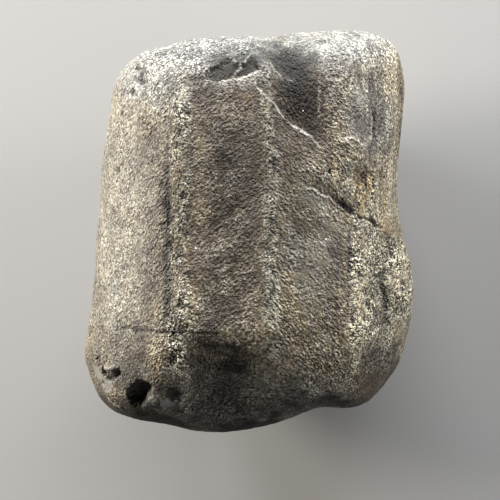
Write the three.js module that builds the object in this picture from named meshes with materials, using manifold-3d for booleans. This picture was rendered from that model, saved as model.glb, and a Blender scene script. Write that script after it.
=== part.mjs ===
// Petrified wood: one water-worn stone of silicified wood, lying on its flattest side.
// Millimetres, +Z up, +Y along the wood grain, origin under the middle of the stone.
//
// The shape is written in the frame of the stone's broad face: u runs across the grain,
// v along it and w out of the face. The face looks up and a little towards +X.
import * as THREE from "three";
import { mergeVertices } from "three/addons/utils/BufferGeometryUtils.js";
import Module from "manifold-3d";

const size = { across: 47, grain: 54, high: 41 };

const face = {
  turn: THREE.MathUtils.degToRad(20), // the broad face leans this far from straight up to +X
  rise: 0.15, // and it rises this much for each millimetre across
};

const body = {
  front: 22.4, // depth of the stone in front of its widest outline
  back: 23.5, // and behind it
  acrossRoundness: 2.25, // 2 is an ellipse, more is squarer
  frontRoundness: { upper: 3.5, lower: 3.8 },
  backRoundness: { upper: 3.3, lower: 2.5 },
  wear: 15, // how tightly the worn flats meet the round body
};

// The outline of the broad face, anticlockwise from the middle of its right side.
const outline = [
  [20.5, -0.2], [19.6, 7.6], [20.6, 15.5], [21.0, 21.9], [19.4, 25.6], [14.7, 26.7], [8.9, 26.6],
  [4.9, 26.8], [2.3, 26.8], [-3.2, 26.2], [-9.7, 25.6], [-15.1, 24.2], [-18.3, 20.7], [-19.8, 13.2],
  [-20.6, 3.2], [-21.8, -9.0], [-22.6, -15.9], [-20.9, -20.9], [-17.8, -23.8], [-12.3, -25.0], [-4.2, -26.2],
  [3.4, -24.9], [9.2, -22.9], [12.0, -22.5], [16.4, -21.6], [19.9, -17.2], [21.8, -9.6], [21.7, -4.0],
];

// Flats worn on the round body: the way each looks (u, v, w) and its distance from the middle.
const flats = [
  { name: "left flank", toward: [-0.76, 0.06, 0.65], at: 21.6 },
  { name: "right flank", toward: [0.9, 0.05, 0.44], at: 21.0 },
  { name: "front", toward: [0.1, 0.02, 1], at: 21.3 },
  { name: "foot", toward: [0.1, -0.8, 0.6], at: 26.4 },
  { name: "back left", toward: [-0.72, 0.1, -0.69], at: 21.4 },
  { name: "back right", toward: [0.66, -0.12, -0.74], at: 22.6 },
  { name: "back head", toward: [0.1, 0.74, -0.67], at: 24.2 },
  { name: "back foot", toward: [0.15, -0.8, -0.6], at: 24.4 },
];

// Broad swells (+) and troughs (-): middle, half-lengths across and along, turn from the grain
// in degrees, height. Those of the broad face come first, then those of the back.
const swells = [
  { name: "saddle in the head", at: [2.6, 25.0], half: [2.2, 5.0], spin: 14, height: -0.9 },
  { name: "hollow below the saddle", at: [5.3, 18.4], half: [3.0, 6.4], spin: 6, height: -1.5 },
  { name: "shoulder right of the saddle", at: [10.8, 18.0], half: [3.0, 9.0], spin: 6, height: 0.5 },
  { name: "left head lobe", at: [-6.5, 20.0], half: [7.5, 4.5], spin: 0, height: 0.3 },
  { name: "edge of the left flank", at: [-10.4, 2.0], half: [1.1, 21.0], spin: 1, height: -0.65 },
  { name: "pale grain band, left", at: [-8.3, 1.5], half: [1.5, 20.0], spin: 0, height: 0.2 },
  { name: "hollow face between the bands", at: [-2.6, 4.0], half: [4.0, 15.0], spin: 0, height: -0.35 },
  { name: "pale grain band, middle", at: [2.4, 4.0], half: [1.8, 17.0], spin: -1, height: 0.2 },
  { name: "right grain ridge", at: [13.2, -4.0], half: [1.9, 17.0], spin: 0, height: 0.35 },
  { name: "groove of the right flank", at: [17.0, -7.0], half: [1.3, 6.0], spin: 3, height: -0.7 },
  { name: "bulge of the right edge", at: [19.8, -5.0], half: [2.0, 6.5], spin: 0, height: 0.4 },
  { name: "trough in the foot", at: [-4.2, -18.6], half: [4.9, 4.6], spin: -8, height: -1.7 },
  { name: "swell of the foot", at: [7.6, -18.6], half: [5.0, 4.2], spin: 0, height: 0.9 },
  { name: "right foot trough", at: [9.6, -23.2], half: [2.6, 3.2], spin: 20, height: -0.5 },
  { name: "swell beside the holes", at: [-11.0, -16.5], half: [2.6, 4.0], spin: 0, height: 0.5 },
  { name: "lower right corner", at: [16.4, -17.6], half: [3.0, 4.4], spin: 20, height: -0.8 },
  { name: "small boss", at: [13.6, 10.2], half: [2.0, 2.3], spin: 0, height: 0.45 },
  { name: "back groove, left", side: -1, at: [-11.0, 1.0], half: [1.5, 19.0], spin: -2, height: -0.7 },
  { name: "back ridge", side: -1, at: [-6.0, -3.0], half: [2.4, 15.0], spin: 3, height: 0.35 },
  { name: "back groove, right", side: -1, at: [12.5, 4.0], half: [1.7, 16.0], spin: 2, height: -0.8 },
  { name: "back trough", side: -1, at: [7.0, -19.0], half: [4.5, 4.0], spin: 25, height: -1.0 },
];

// Scars and holes: middle, half-lengths across and along, turn from the grain in degrees,
// depth, and how many depths the cutting ellipsoid's middle stands above the surface.
const scars = [
  { name: "flake scar, left scoop", at: [-3.6, 20.8], half: [2.5, 1.5], spin: 13, depth: 1.1, lift: 1 },
  { name: "flake scar, upper scoop", at: [-0.8, 22.6], half: [1.5, 1.0], spin: 25, depth: 0.7, lift: 0.8 },
  { name: "flake scar, right scoop", at: [-0.3, 21.3], half: [1.7, 1.1], spin: 15, depth: 0.8, lift: 0.8 },
  { name: "ledge of the hollow", at: [5.4, 16.0], half: [1.7, 5.6], spin: 46, depth: 0.6, lift: 1 },
  { name: "short ledge", at: [10.5, 5.0], half: [1.1, 3.6], spin: 64, depth: 0.5, lift: 0.8 },
  { name: "crevice of the right flank", at: [15.9, 1.6], half: [0.6, 1.1], spin: 50, depth: 0.7, lift: 0.2 },
  { name: "largest hole", at: [-14.3, -20.1], half: [1.4, 1.75], spin: 0, depth: 1.9, lift: 0 },
  { name: "hole in the left foot", at: [-18.2, -16.9], half: [1.0, 1.15], spin: 0, depth: 1.3, lift: 0 },
  { name: "shallow hole", at: [-10.1, -20.1], half: [1.0, 1.1], spin: 10, depth: 0.9, lift: 0.2 },
  { name: "flake scar, back", side: -1, at: [-15.0, 12.0], half: [3.4, 5.2], spin: -15, depth: 1.1, lift: 2 },
  { name: "back hole", side: -1, at: [14.6, -9.0], half: [1.2, 1.7], spin: 15, depth: 1.3, lift: 0 },
  { name: "small back hole", side: -1, at: [-15.6, -9.0], half: [0.9, 1.2], spin: 0, depth: 0.9, lift: 0 },
];

const restingCut = 2.6; // worn off the lowest side, so that the stone lies on a flat
const meshDetail = 17; // subdivision of the icosahedron
const frontShare = 0.22; // shifts triangles from the back to the broad face
const scarDetail = 3;

const stone = new THREE.MeshStandardMaterial({ color: 0x6e675c, roughness: 0.62, metalness: 0 });

const toRadians = THREE.MathUtils.degToRad;

/** Radius of the outline at each angle, from a smooth closed curve through its points. */
function outlineRadius(points) {
  const corners = points.map(([u, v]) => new THREE.Vector3(u, v, 0));
  const curve = new THREE.CatmullRomCurve3(corners, true, "catmullrom", 0.5);
  const samples = curve.getPoints(points.length * 12).slice(0, -1);
  const polar = samples.map((p) => [Math.atan2(p.y, p.x), Math.hypot(p.x, p.y)]);
  polar.sort((a, b) => a[0] - b[0]);
  const fullTurn = 2 * Math.PI;
  const first = polar[0];
  const last = polar[polar.length - 1];
  polar.unshift([last[0] - fullTurn, last[1]]);
  polar.push([first[0] + fullTurn, first[1]]);
  return (angle) => {
    const next = polar.findIndex((entry) => entry[0] > angle);
    const [a0, r0] = polar[next - 1];
    const [a1, r1] = polar[next];
    return THREE.MathUtils.mapLinear(angle, a0, a1, r0, r1);
  };
}

const radiusAt = outlineRadius(outline);

const wornFlats = flats.map(({ toward, at }) => ({ normal: new THREE.Vector3(...toward).normalize(), at }));

/** Distance from the middle to the worn round body in a unit direction of the face frame. */
function bodyReach(way) {
  const inPlane = Math.hypot(way.x, way.y);
  const angle = Math.atan2(way.y, way.x);
  const alongShare = Math.sin(angle) ** 2;
  const { upper, lower } = way.z > 0 ? body.frontRoundness : body.backRoundness;
  const power = THREE.MathUtils.lerp(body.acrossRoundness, way.y > 0 ? upper : lower, alongShare);
  const depth = way.z > 0 ? body.front : body.back;
  const round = ((inPlane / radiusAt(angle)) ** power + (Math.abs(way.z) / depth) ** power) ** (1 / power);
  let total = round ** body.wear;
  for (const { normal, at } of wornFlats) {
    total += Math.max(0, normal.dot(way) / at) ** body.wear;
  }
  return total ** (-1 / body.wear);
}

/** The point of the worn body over (u, v): on the broad face for side 1, on the back for -1. */
function surfaceOver(u, v, side) {
  let low = 0;
  let high = 2 * body.front;
  for (let step = 0; step < 40; step += 1) {
    const middle = (low + high) / 2;
    const point = new THREE.Vector3(u, v, side * middle);
    const length = point.length();
    if (length < bodyReach(point.clone().divideScalar(length))) low = middle;
    else high = middle;
  }
  return new THREE.Vector3(u, v, side * low);
}

/** The way out of the worn body at a point of its surface. */
function outward(point) {
  const step = 0.05;
  const excess = (p) => p.length() - bodyReach(p.clone().normalize());
  const slope = new THREE.Vector3();
  for (const axis of ["x", "y", "z"]) {
    const ahead = point.clone();
    const behind = point.clone();
    ahead[axis] += step;
    behind[axis] -= step;
    slope[axis] = excess(ahead) - excess(behind);
  }
  return slope.normalize();
}

/** Height of the swells at a point of the body; each fades out on the side that it isn't on. */
function swellHeight(point) {
  let height = 0;
  for (const { side = 1, at, half, spin, height: top } of swells) {
    const fade = THREE.MathUtils.smoothstep(side * point.z, -2, 3);
    const turn = toRadians(spin);
    const u = point.x - at[0];
    const v = point.y - at[1];
    const across = (u * Math.cos(turn) + v * Math.sin(turn)) / half[0];
    const along = (v * Math.cos(turn) - u * Math.sin(turn)) / half[1];
    height += fade * top * Math.exp(-(across ** 2) - along ** 4);
  }
  return height;
}

/** A closed body from a geometry whose shared points are merged. */
function solidOf(geometry, wasm) {
  geometry.deleteAttribute("normal");
  geometry.deleteAttribute("uv");
  const merged = mergeVertices(geometry, 1e-4);
  const vertProperties = new Float32Array(merged.attributes.position.array);
  const triVerts = new Uint32Array(merged.index.array);
  return new wasm.Manifold(new wasm.Mesh({ numProp: 3, vertProperties, triVerts }));
}

/** The stone's outer surface, before the scars are cut. */
function wornStone() {
  const geometry = new THREE.IcosahedronGeometry(1, meshDetail);
  const positions = geometry.attributes.position;
  const way = new THREE.Vector3();
  for (let i = 0; i < positions.count; i += 1) {
    way.fromBufferAttribute(positions, i).normalize();
    way.z += frontShare;
    way.normalize();
    const point = way.clone().multiplyScalar(bodyReach(way));
    point.addScaledVector(outward(point), swellHeight(point));
    positions.setXYZ(i, point.x, point.y, point.z);
  }
  return geometry;
}

/** The ellipsoid that cuts one scar or hole. */
function scarCutter({ side = 1, at, half, spin, depth, lift }) {
  const touch = surfaceOver(at[0], at[1], side);
  const out = outward(touch);
  touch.addScaledVector(out, swellHeight(touch));
  const height = depth * (1 + lift);
  const widen = 1 / Math.sqrt(1 - (lift / (1 + lift)) ** 2);
  const geometry = new THREE.IcosahedronGeometry(1, scarDetail);
  geometry.scale(half[0] * widen, half[1] * widen, height);
  geometry.rotateZ(toRadians(spin));
  const along = new THREE.Vector3(0, 1, 0).addScaledVector(out, -out.y).normalize();
  const across = new THREE.Vector3().crossVectors(along, out);
  geometry.applyMatrix4(new THREE.Matrix4().makeBasis(across, along, out));
  touch.addScaledVector(out, depth * lift);
  geometry.translate(touch.x, touch.y, touch.z);
  return geometry;
}

/** Turns a geometry from the face frame to the frame in which the stone lies. */
function layDown(geometry) {
  const lean = new THREE.Matrix4().set(1, 0, 0, 0, 0, 1, 0, 0, face.rise, 0, 1, 0, 0, 0, 0, 1);
  geometry.applyMatrix4(lean);
  geometry.rotateY(face.turn);
  return geometry;
}

/** The whole stone: worn body, less its scars, less what its resting side has lost. */
function buildStone(wasm) {
  let solid = solidOf(layDown(wornStone()), wasm);
  for (const scar of scars) {
    solid = solid.subtract(solidOf(layDown(scarCutter(scar)), wasm));
  }
  const lowest = solid.boundingBox().min[2];
  const groundBlock = new THREE.BoxGeometry(2 * size.across, 2 * size.grain, size.high);
  groundBlock.translate(0, 0, lowest + restingCut - size.high / 2);
  solid = solid.subtract(solidOf(groundBlock, wasm));
  const { vertProperties, triVerts } = solid.getMesh();
  const geometry = new THREE.BufferGeometry();
  geometry.setAttribute("position", new THREE.BufferAttribute(new Float32Array(vertProperties), 3));
  geometry.setIndex(new THREE.BufferAttribute(new Uint32Array(triVerts), 1));
  return standOnGround(geometry);
}

/** Brings the stone to its measured size, with the middle of its underside at the origin. */
function standOnGround(geometry) {
  geometry.computeBoundingBox();
  const { min, max } = geometry.boundingBox;
  const extent = max.clone().sub(min);
  geometry.translate(-(min.x + max.x) / 2, -(min.y + max.y) / 2, -min.z);
  geometry.scale(size.across / extent.x, size.grain / extent.y, size.high / extent.z);
  geometry.computeVertexNormals();
  return geometry;
}

const wasm = await Module();
wasm.setup();

const mesh = new THREE.Mesh(buildStone(wasm), stone);
mesh.name = "petrified_wood";

const petrifiedWood = new THREE.Group();
petrifiedWood.add(mesh);

export default petrifiedWood;
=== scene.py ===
"""Petrified wood: a water-worn stone of silicified wood, lying on its back on a pale floor.

The stone's form is written in millimetres in the frame of its broad face: u runs across the
grain, v along it and w out of the face. It is then turned into the frame in which the stone lies.
"""

import logging
import math
from dataclasses import dataclass, field
from enum import Enum, IntEnum
from typing import Any

import bpy
import numpy as np
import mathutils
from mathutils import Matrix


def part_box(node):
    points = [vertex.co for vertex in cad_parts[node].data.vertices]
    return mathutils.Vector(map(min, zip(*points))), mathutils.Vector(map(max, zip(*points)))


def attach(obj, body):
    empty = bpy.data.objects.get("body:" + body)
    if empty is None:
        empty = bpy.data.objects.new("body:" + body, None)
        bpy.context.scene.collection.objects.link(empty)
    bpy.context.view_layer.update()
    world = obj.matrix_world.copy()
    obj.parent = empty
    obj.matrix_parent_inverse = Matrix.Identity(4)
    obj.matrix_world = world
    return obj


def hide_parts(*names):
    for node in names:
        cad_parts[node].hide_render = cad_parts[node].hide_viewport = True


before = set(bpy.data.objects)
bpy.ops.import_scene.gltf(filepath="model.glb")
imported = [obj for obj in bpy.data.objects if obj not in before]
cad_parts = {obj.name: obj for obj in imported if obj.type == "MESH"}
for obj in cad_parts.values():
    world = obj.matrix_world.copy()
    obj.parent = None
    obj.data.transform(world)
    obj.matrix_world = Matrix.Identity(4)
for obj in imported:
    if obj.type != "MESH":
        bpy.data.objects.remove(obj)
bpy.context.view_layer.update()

LOG = logging.getLogger("petrified_wood")
MM = 0.001
NODE = "petrified_wood"

FACE_TURN = 20.0  # degrees that the broad face leans from straight up towards +X
SLANTS = (48.0, -54.0)  # degrees that the fine scratches lean, on the left and on the right half

Array = np.ndarray
Point = tuple[float, float]
Size = tuple[float, float, float]
Vector = tuple[float, float, float]
Line = tuple[Point, ...]
Sockets = dict[str, bpy.types.NodeSocket]

MARKS = ("band", "ochre", "broken", "crevice", "edge_highlight", "worn", "painted_sheen", "tone", "slant", "coarse")


class Side(IntEnum):
    """The two sides of the stone: the sign of w there."""

    FACE = 1
    BACK = -1


class Seed(IntEnum):
    """Which random pattern each kind of detail takes."""

    LUMPS = 3
    FLUTES = 11
    SWELLINGS = 21
    COARSE_CHIPS = 23
    MIDDLE_CHIPS = 25
    FINE_CHIPS = 27
    COARSE_GRAINS = 37
    FINE_GRAINS = 39
    SMALL_PITS = 41
    BROAD_BLOTCHES = 61
    NARROW_BLOTCHES = 63
    STREAKED_BLOTCHES = 65
    BAND_WANDER = 71
    BAND_EDGE = 73
    BAND_GAPS = 75
    JAGS_ACROSS = 81
    JAGS_ALONG = 85
    PATCHY_HIGHLIGHTS = 87


# ---------------------------------------------------------------- small helpers


def linear(hex_colour: str) -> tuple[float, float, float, float]:
    """Turns an sRGB hex colour into a linear RGBA one.

    Args:
        hex_colour: Six hex digits after a hash.

    Returns:
        Linear red, green, blue and an alpha of 1.
    """
    parts = [int(hex_colour[i : i + 2], 16) / 255 for i in (1, 3, 5)]
    red, green, blue = (c / 12.92 if c <= 0.04045 else ((c + 0.055) / 1.055) ** 2.4 for c in parts)
    return red, green, blue, 1.0


def add_node(tree: bpy.types.NodeTree, kind: str, inputs: dict | None = None, **settings) -> bpy.types.Node:
    """Adds a shader node with its settings, values and links.

    Args:
        tree: The node tree that it goes in.
        kind: The node's type name.
        inputs: For each input, by name or number, a value or the output socket that feeds it.
        **settings: Properties of the node itself.

    Returns:
        The new node.
    """
    node = tree.nodes.new(kind)
    for name, value in settings.items():
        setattr(node, name, value)
    for key, value in (inputs or {}).items():
        if isinstance(value, bpy.types.NodeSocket):
            tree.links.new(value, node.inputs[key])
        else:
            node.inputs[key].default_value = value
    return node


def smoothstep(values: Array, low: float, high: float) -> Array:
    """Rises smoothly from 0 at low to 1 at high."""
    share = np.clip((values - low) / (high - low), 0, 1)
    return share * share * (3 - 2 * share)


def lattice_noise(places: Array, seed: int) -> Array:
    """Smooth random values between -1 and 1, one new value each unit of length.

    Args:
        places: Rows of x, y, z, already divided by the size of the pattern.
        seed: Chooses the pattern.

    Returns:
        One value for each row.
    """
    cell = np.floor(places).astype(np.int64)
    part = places - cell
    blend = part * part * part * (part * (part * 6 - 15) + 10)
    total = np.zeros(len(places))
    for corner in range(8):
        step = np.array([corner & 1, corner >> 1 & 1, corner >> 2 & 1])
        at = cell + step
        mixed = at[:, 0] * 374761393 + at[:, 1] * 668265263 + at[:, 2] * 1274126177 + seed * 974634777
        mixed = (mixed ^ (mixed >> 13)) * 1103515245 & 0x7FFFFFFF
        mixed = (mixed ^ (mixed >> 15)) * 12345 + mixed & 0x7FFFFFFF
        weight = np.where(step == 1, blend, 1 - blend).prod(1)
        total += weight * (mixed / 0x3FFFFFFF - 1)
    return total


def layered_noise(places: Array, size: Size, seed: int, layers: int = 3) -> Array:
    """Adds ever finer and weaker layers of lattice noise.

    Args:
        places: Rows of u, v, w in millimetres.
        size: Size of the coarsest layer's pattern along u, v and w, in millimetres.
        seed: Chooses the pattern.
        layers: How many layers are added, each half the size and strength of the last.

    Returns:
        One value for each row, about -1 to 1.
    """
    total = np.zeros(len(places))
    for layer in range(layers):
        total += lattice_noise(places * 2**layer / np.array(size), seed + layer) / 2**layer
    return total


def slanted_noise(places: Array, size: Point, seed: int) -> Array:
    """Noise stretched along the slant of the stone's fine scratches.

    The scratches lean to the right on the left half and to the left on the right half.

    Args:
        places: Rows of u, v, w in millimetres.
        size: Size of the pattern along and across the slant, in millimetres.
        seed: Chooses the pattern.

    Returns:
        One value for each row, about -1 to 1.
    """
    long, short = size
    fields = []
    for number, degrees in enumerate(SLANTS):
        turn = math.radians(degrees)
        along = places[:, 0] * math.cos(turn) + places[:, 1] * math.sin(turn)
        across = places[:, 1] * math.cos(turn) - places[:, 0] * math.sin(turn)
        turned = np.stack([along / long, across / short, places[:, 2] / short], 1)
        fields.append(lattice_noise(turned, seed + 50 * number))
    right = slant_share(places)
    return fields[0] * (1 - right) + fields[1] * right


def slant_share(places: Array) -> Array:
    """How far the scratches have turned from the left half's slant to the right half's."""
    return smoothstep(places[:, 0], -1.0, 3.5)


def right_flank(places: Array, low: float, high: float) -> Array:
    """Fades from 0 to 1 between two places across the grain, on the head's half of the stone."""
    return smoothstep(places[:, 0], low, high) * smoothstep(places[:, 1], 0, 5)


def on_face(places: Array, side: Side, low: float = -1.0, high: float = 2.0) -> Array:
    """Fades from 0 to 1 where the broad face or the back begins."""
    return smoothstep(side * places[:, 2], low, high)


def bell(values: Array, width: float, middle: float = 0.0) -> Array:
    """Falls smoothly from 1 at the middle to 0 on both sides."""
    return np.exp(-(((values - middle) / width) ** 2))


def tapered(along: Array, tail: float) -> Array:
    """Fades a line in over its first fifth, and out from its tail to its end."""
    return smoothstep(along, 0, 0.2) * (1 - smoothstep(along, tail, 1.0))


def distance_to_line(places: Array, corners: Line) -> tuple[Array, Array, Array]:
    """Distance from each place to a line of straight runs on the broad face.

    Args:
        places: Rows of u, v and more, in millimetres.
        corners: The line's corners (u, v).

    Returns:
        The distance, the side (1 left of the line's direction, -1 right of it), and how far
        along the line the nearest point is, from 0 to 1.
    """
    line = np.array(corners)
    starts, runs = line[:-1], np.diff(line, axis=0)
    lengths = np.linalg.norm(runs, axis=1)
    before = np.concatenate([[0], np.cumsum(lengths)])
    best = np.full(len(places), np.inf)
    side = np.ones(len(places))
    along = np.zeros(len(places))
    for start, run, length, passed in zip(starts, runs, lengths, before):
        offset = places[:, :2] - start
        share = np.clip(offset @ run / length**2, 0, 1)
        gap = offset - share[:, None] * run
        distance = np.hypot(gap[:, 0], gap[:, 1])
        nearer = distance < best
        best = np.where(nearer, distance, best)
        turn = run[0] * offset[:, 1] - run[1] * offset[:, 0]
        side = np.where(nearer, np.where(turn >= 0, 1.0, -1.0), side)
        along = np.where(nearer, (passed + share * length) / before[-1], along)
    return best, side, along


def inside_outline(places: Array, outline: Line) -> Array:
    """Tells which places lie inside a closed outline on the broad face.

    Args:
        places: Rows of u, v and more, in millimetres.
        outline: The outline's corners (u, v).

    Returns:
        True or False for each row.
    """
    inside = np.zeros(len(places), dtype=bool)
    for (u0, v0), (u1, v1) in zip(outline, outline[1:] + outline[:1]):
        if v0 == v1:
            continue
        level = (v0 > places[:, 1]) != (v1 > places[:, 1])
        crossing = u0 + (places[:, 1] - v0) * (u1 - u0) / (v1 - v0)
        inside ^= level & (places[:, 0] < crossing)
    return inside


# ---------------------------------------------------------------- the worn body
# The name of each flat, swell, scar, ledge, flake and crease says which feature it is.


@dataclass(frozen=True)
class Flat:
    """A flat worn on the round body: the way that it looks and its distance from the middle."""

    name: str
    toward: Vector
    at: float


class Oval:
    """Whatever has an oval outline on the face: a place, two half-lengths and a turn in degrees."""

    at: Point
    half: Point
    spin: float

    def measure(self, places: Array) -> tuple[Array, Array]:
        """How far each place lies across and along from the middle, in half-lengths.

        Args:
            places: Rows of u, v, w.

        Returns:
            The share across and the share along, for each row.
        """
        turn = math.radians(self.spin)
        u, v = places[:, 0] - self.at[0], places[:, 1] - self.at[1]
        across = (u * math.cos(turn) + v * math.sin(turn)) / self.half[0]
        along = (v * math.cos(turn) - u * math.sin(turn)) / self.half[1]
        return across, along


@dataclass(frozen=True)
class Swell(Oval):
    """A broad swell, or a trough if its height is negative."""

    name: str
    at: Point
    half: Point
    spin: float
    height: float
    side: Side = Side.FACE


@dataclass(frozen=True)
class Scar(Oval):
    """A scar or hole, cut by an ellipsoid whose middle stands some depths above the surface."""

    name: str
    at: Point
    half: Point
    spin: float
    depth: float
    lift: float
    side: Side = Side.FACE


OUTLINE: Line = (
    (20.5, -0.2), (19.6, 7.6), (20.6, 15.5), (21.0, 21.9), (19.4, 25.6), (14.7, 26.7),
    (8.9, 26.6), (4.9, 26.8), (2.3, 26.8), (-3.2, 26.2), (-9.7, 25.6), (-15.1, 24.2),
    (-18.3, 20.7), (-19.8, 13.2), (-20.6, 3.2), (-21.8, -9.0), (-22.6, -15.9), (-20.9, -20.9),
    (-17.8, -23.8), (-12.3, -25.0), (-4.2, -26.2), (3.4, -24.9), (9.2, -22.9), (12.0, -22.5),
    (16.4, -21.6), (19.9, -17.2), (21.8, -9.6), (21.7, -4.0),
)

FLATS: tuple[Flat, ...] = (
    Flat("left flank", (-0.76, 0.06, 0.65), 21.6),
    Flat("right flank", (0.9, 0.05, 0.44), 21.0),
    Flat("front", (0.1, 0.02, 1.0), 21.3),
    Flat("foot", (0.1, -0.8, 0.6), 26.4),
    Flat("back left", (-0.72, 0.1, -0.69), 21.4),
    Flat("back right", (0.66, -0.12, -0.74), 22.6),
    Flat("back head", (0.1, 0.74, -0.67), 24.2),
    Flat("back foot", (0.15, -0.8, -0.6), 24.4),
)

SWELLS: tuple[Swell, ...] = (
    Swell("saddle in the head", (2.6, 25.0), (2.2, 5.0), 14, -0.9),
    Swell("shoulder right of the saddle", (10.8, 18.0), (3.0, 9.0), 6, 0.5),
    Swell("left head lobe", (-6.5, 20.0), (7.5, 4.5), 0, 0.3),
    Swell("edge of the left flank", (-10.6, 2.0), (1.1, 21.0), 1, -0.35),
    Swell("pale grain band, left", (-8.3, 1.5), (1.5, 20.0), 0, 0.2),
    Swell("hollow face between the bands", (-2.6, 4.0), (4.0, 15.0), 0, -0.35),
    Swell("pale grain band, middle", (2.4, 4.0), (1.8, 17.0), -1, 0.2),
    Swell("right grain ridge", (13.2, -4.0), (1.9, 17.0), 0, 0.35),
    Swell("groove of the right flank", (17.0, -7.0), (1.3, 6.0), 3, -0.7),
    Swell("bulge of the right edge", (19.8, -5.0), (2.0, 6.5), 0, 0.4),
    Swell("trough in the foot", (-4.2, -18.6), (4.9, 4.6), -8, -1.7),
    Swell("hollow below the saddle", (5.3, 18.4), (3.0, 6.4), 6, -1.5),
    Swell("right foot trough", (9.6, -23.2), (2.6, 3.2), 20, -0.5),
    Swell("swell of the foot", (7.6, -18.6), (5.0, 4.2), 0, 0.9),
    Swell("swell beside the holes", (-11.0, -16.5), (2.6, 4.0), 0, 0.5),
    Swell("lower right corner", (16.4, -17.6), (3.0, 4.4), 20, -0.8),
    Swell("small boss", (13.6, 10.2), (2.0, 2.3), 0, 0.45),
    Swell("back groove, left", (-11.0, 1.0), (1.5, 19.0), -2, -0.7, side=Side.BACK),
    Swell("back ridge", (-6.0, -3.0), (2.4, 15.0), 3, 0.35, side=Side.BACK),
    Swell("back groove, right", (12.5, 4.0), (1.7, 16.0), 2, -0.8, side=Side.BACK),
    Swell("back trough", (7.0, -19.0), (4.5, 4.0), 25, -1.0, side=Side.BACK),
)

SCARS: tuple[Scar, ...] = (
    Scar("crevice of the right flank", (15.9, 1.6), (0.6, 1.1), 50, 0.7, 0.2),
    Scar("flake scar, back", (-15.0, 12.0), (3.4, 5.2), -15, 1.1, 2.0, side=Side.BACK),
    Scar("back hole", (14.6, -9.0), (1.2, 1.7), 15, 1.3, 0.0, side=Side.BACK),
    Scar("small back hole", (-15.6, -9.0), (0.9, 1.2), 0, 0.9, 0.0, side=Side.BACK),
)


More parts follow.
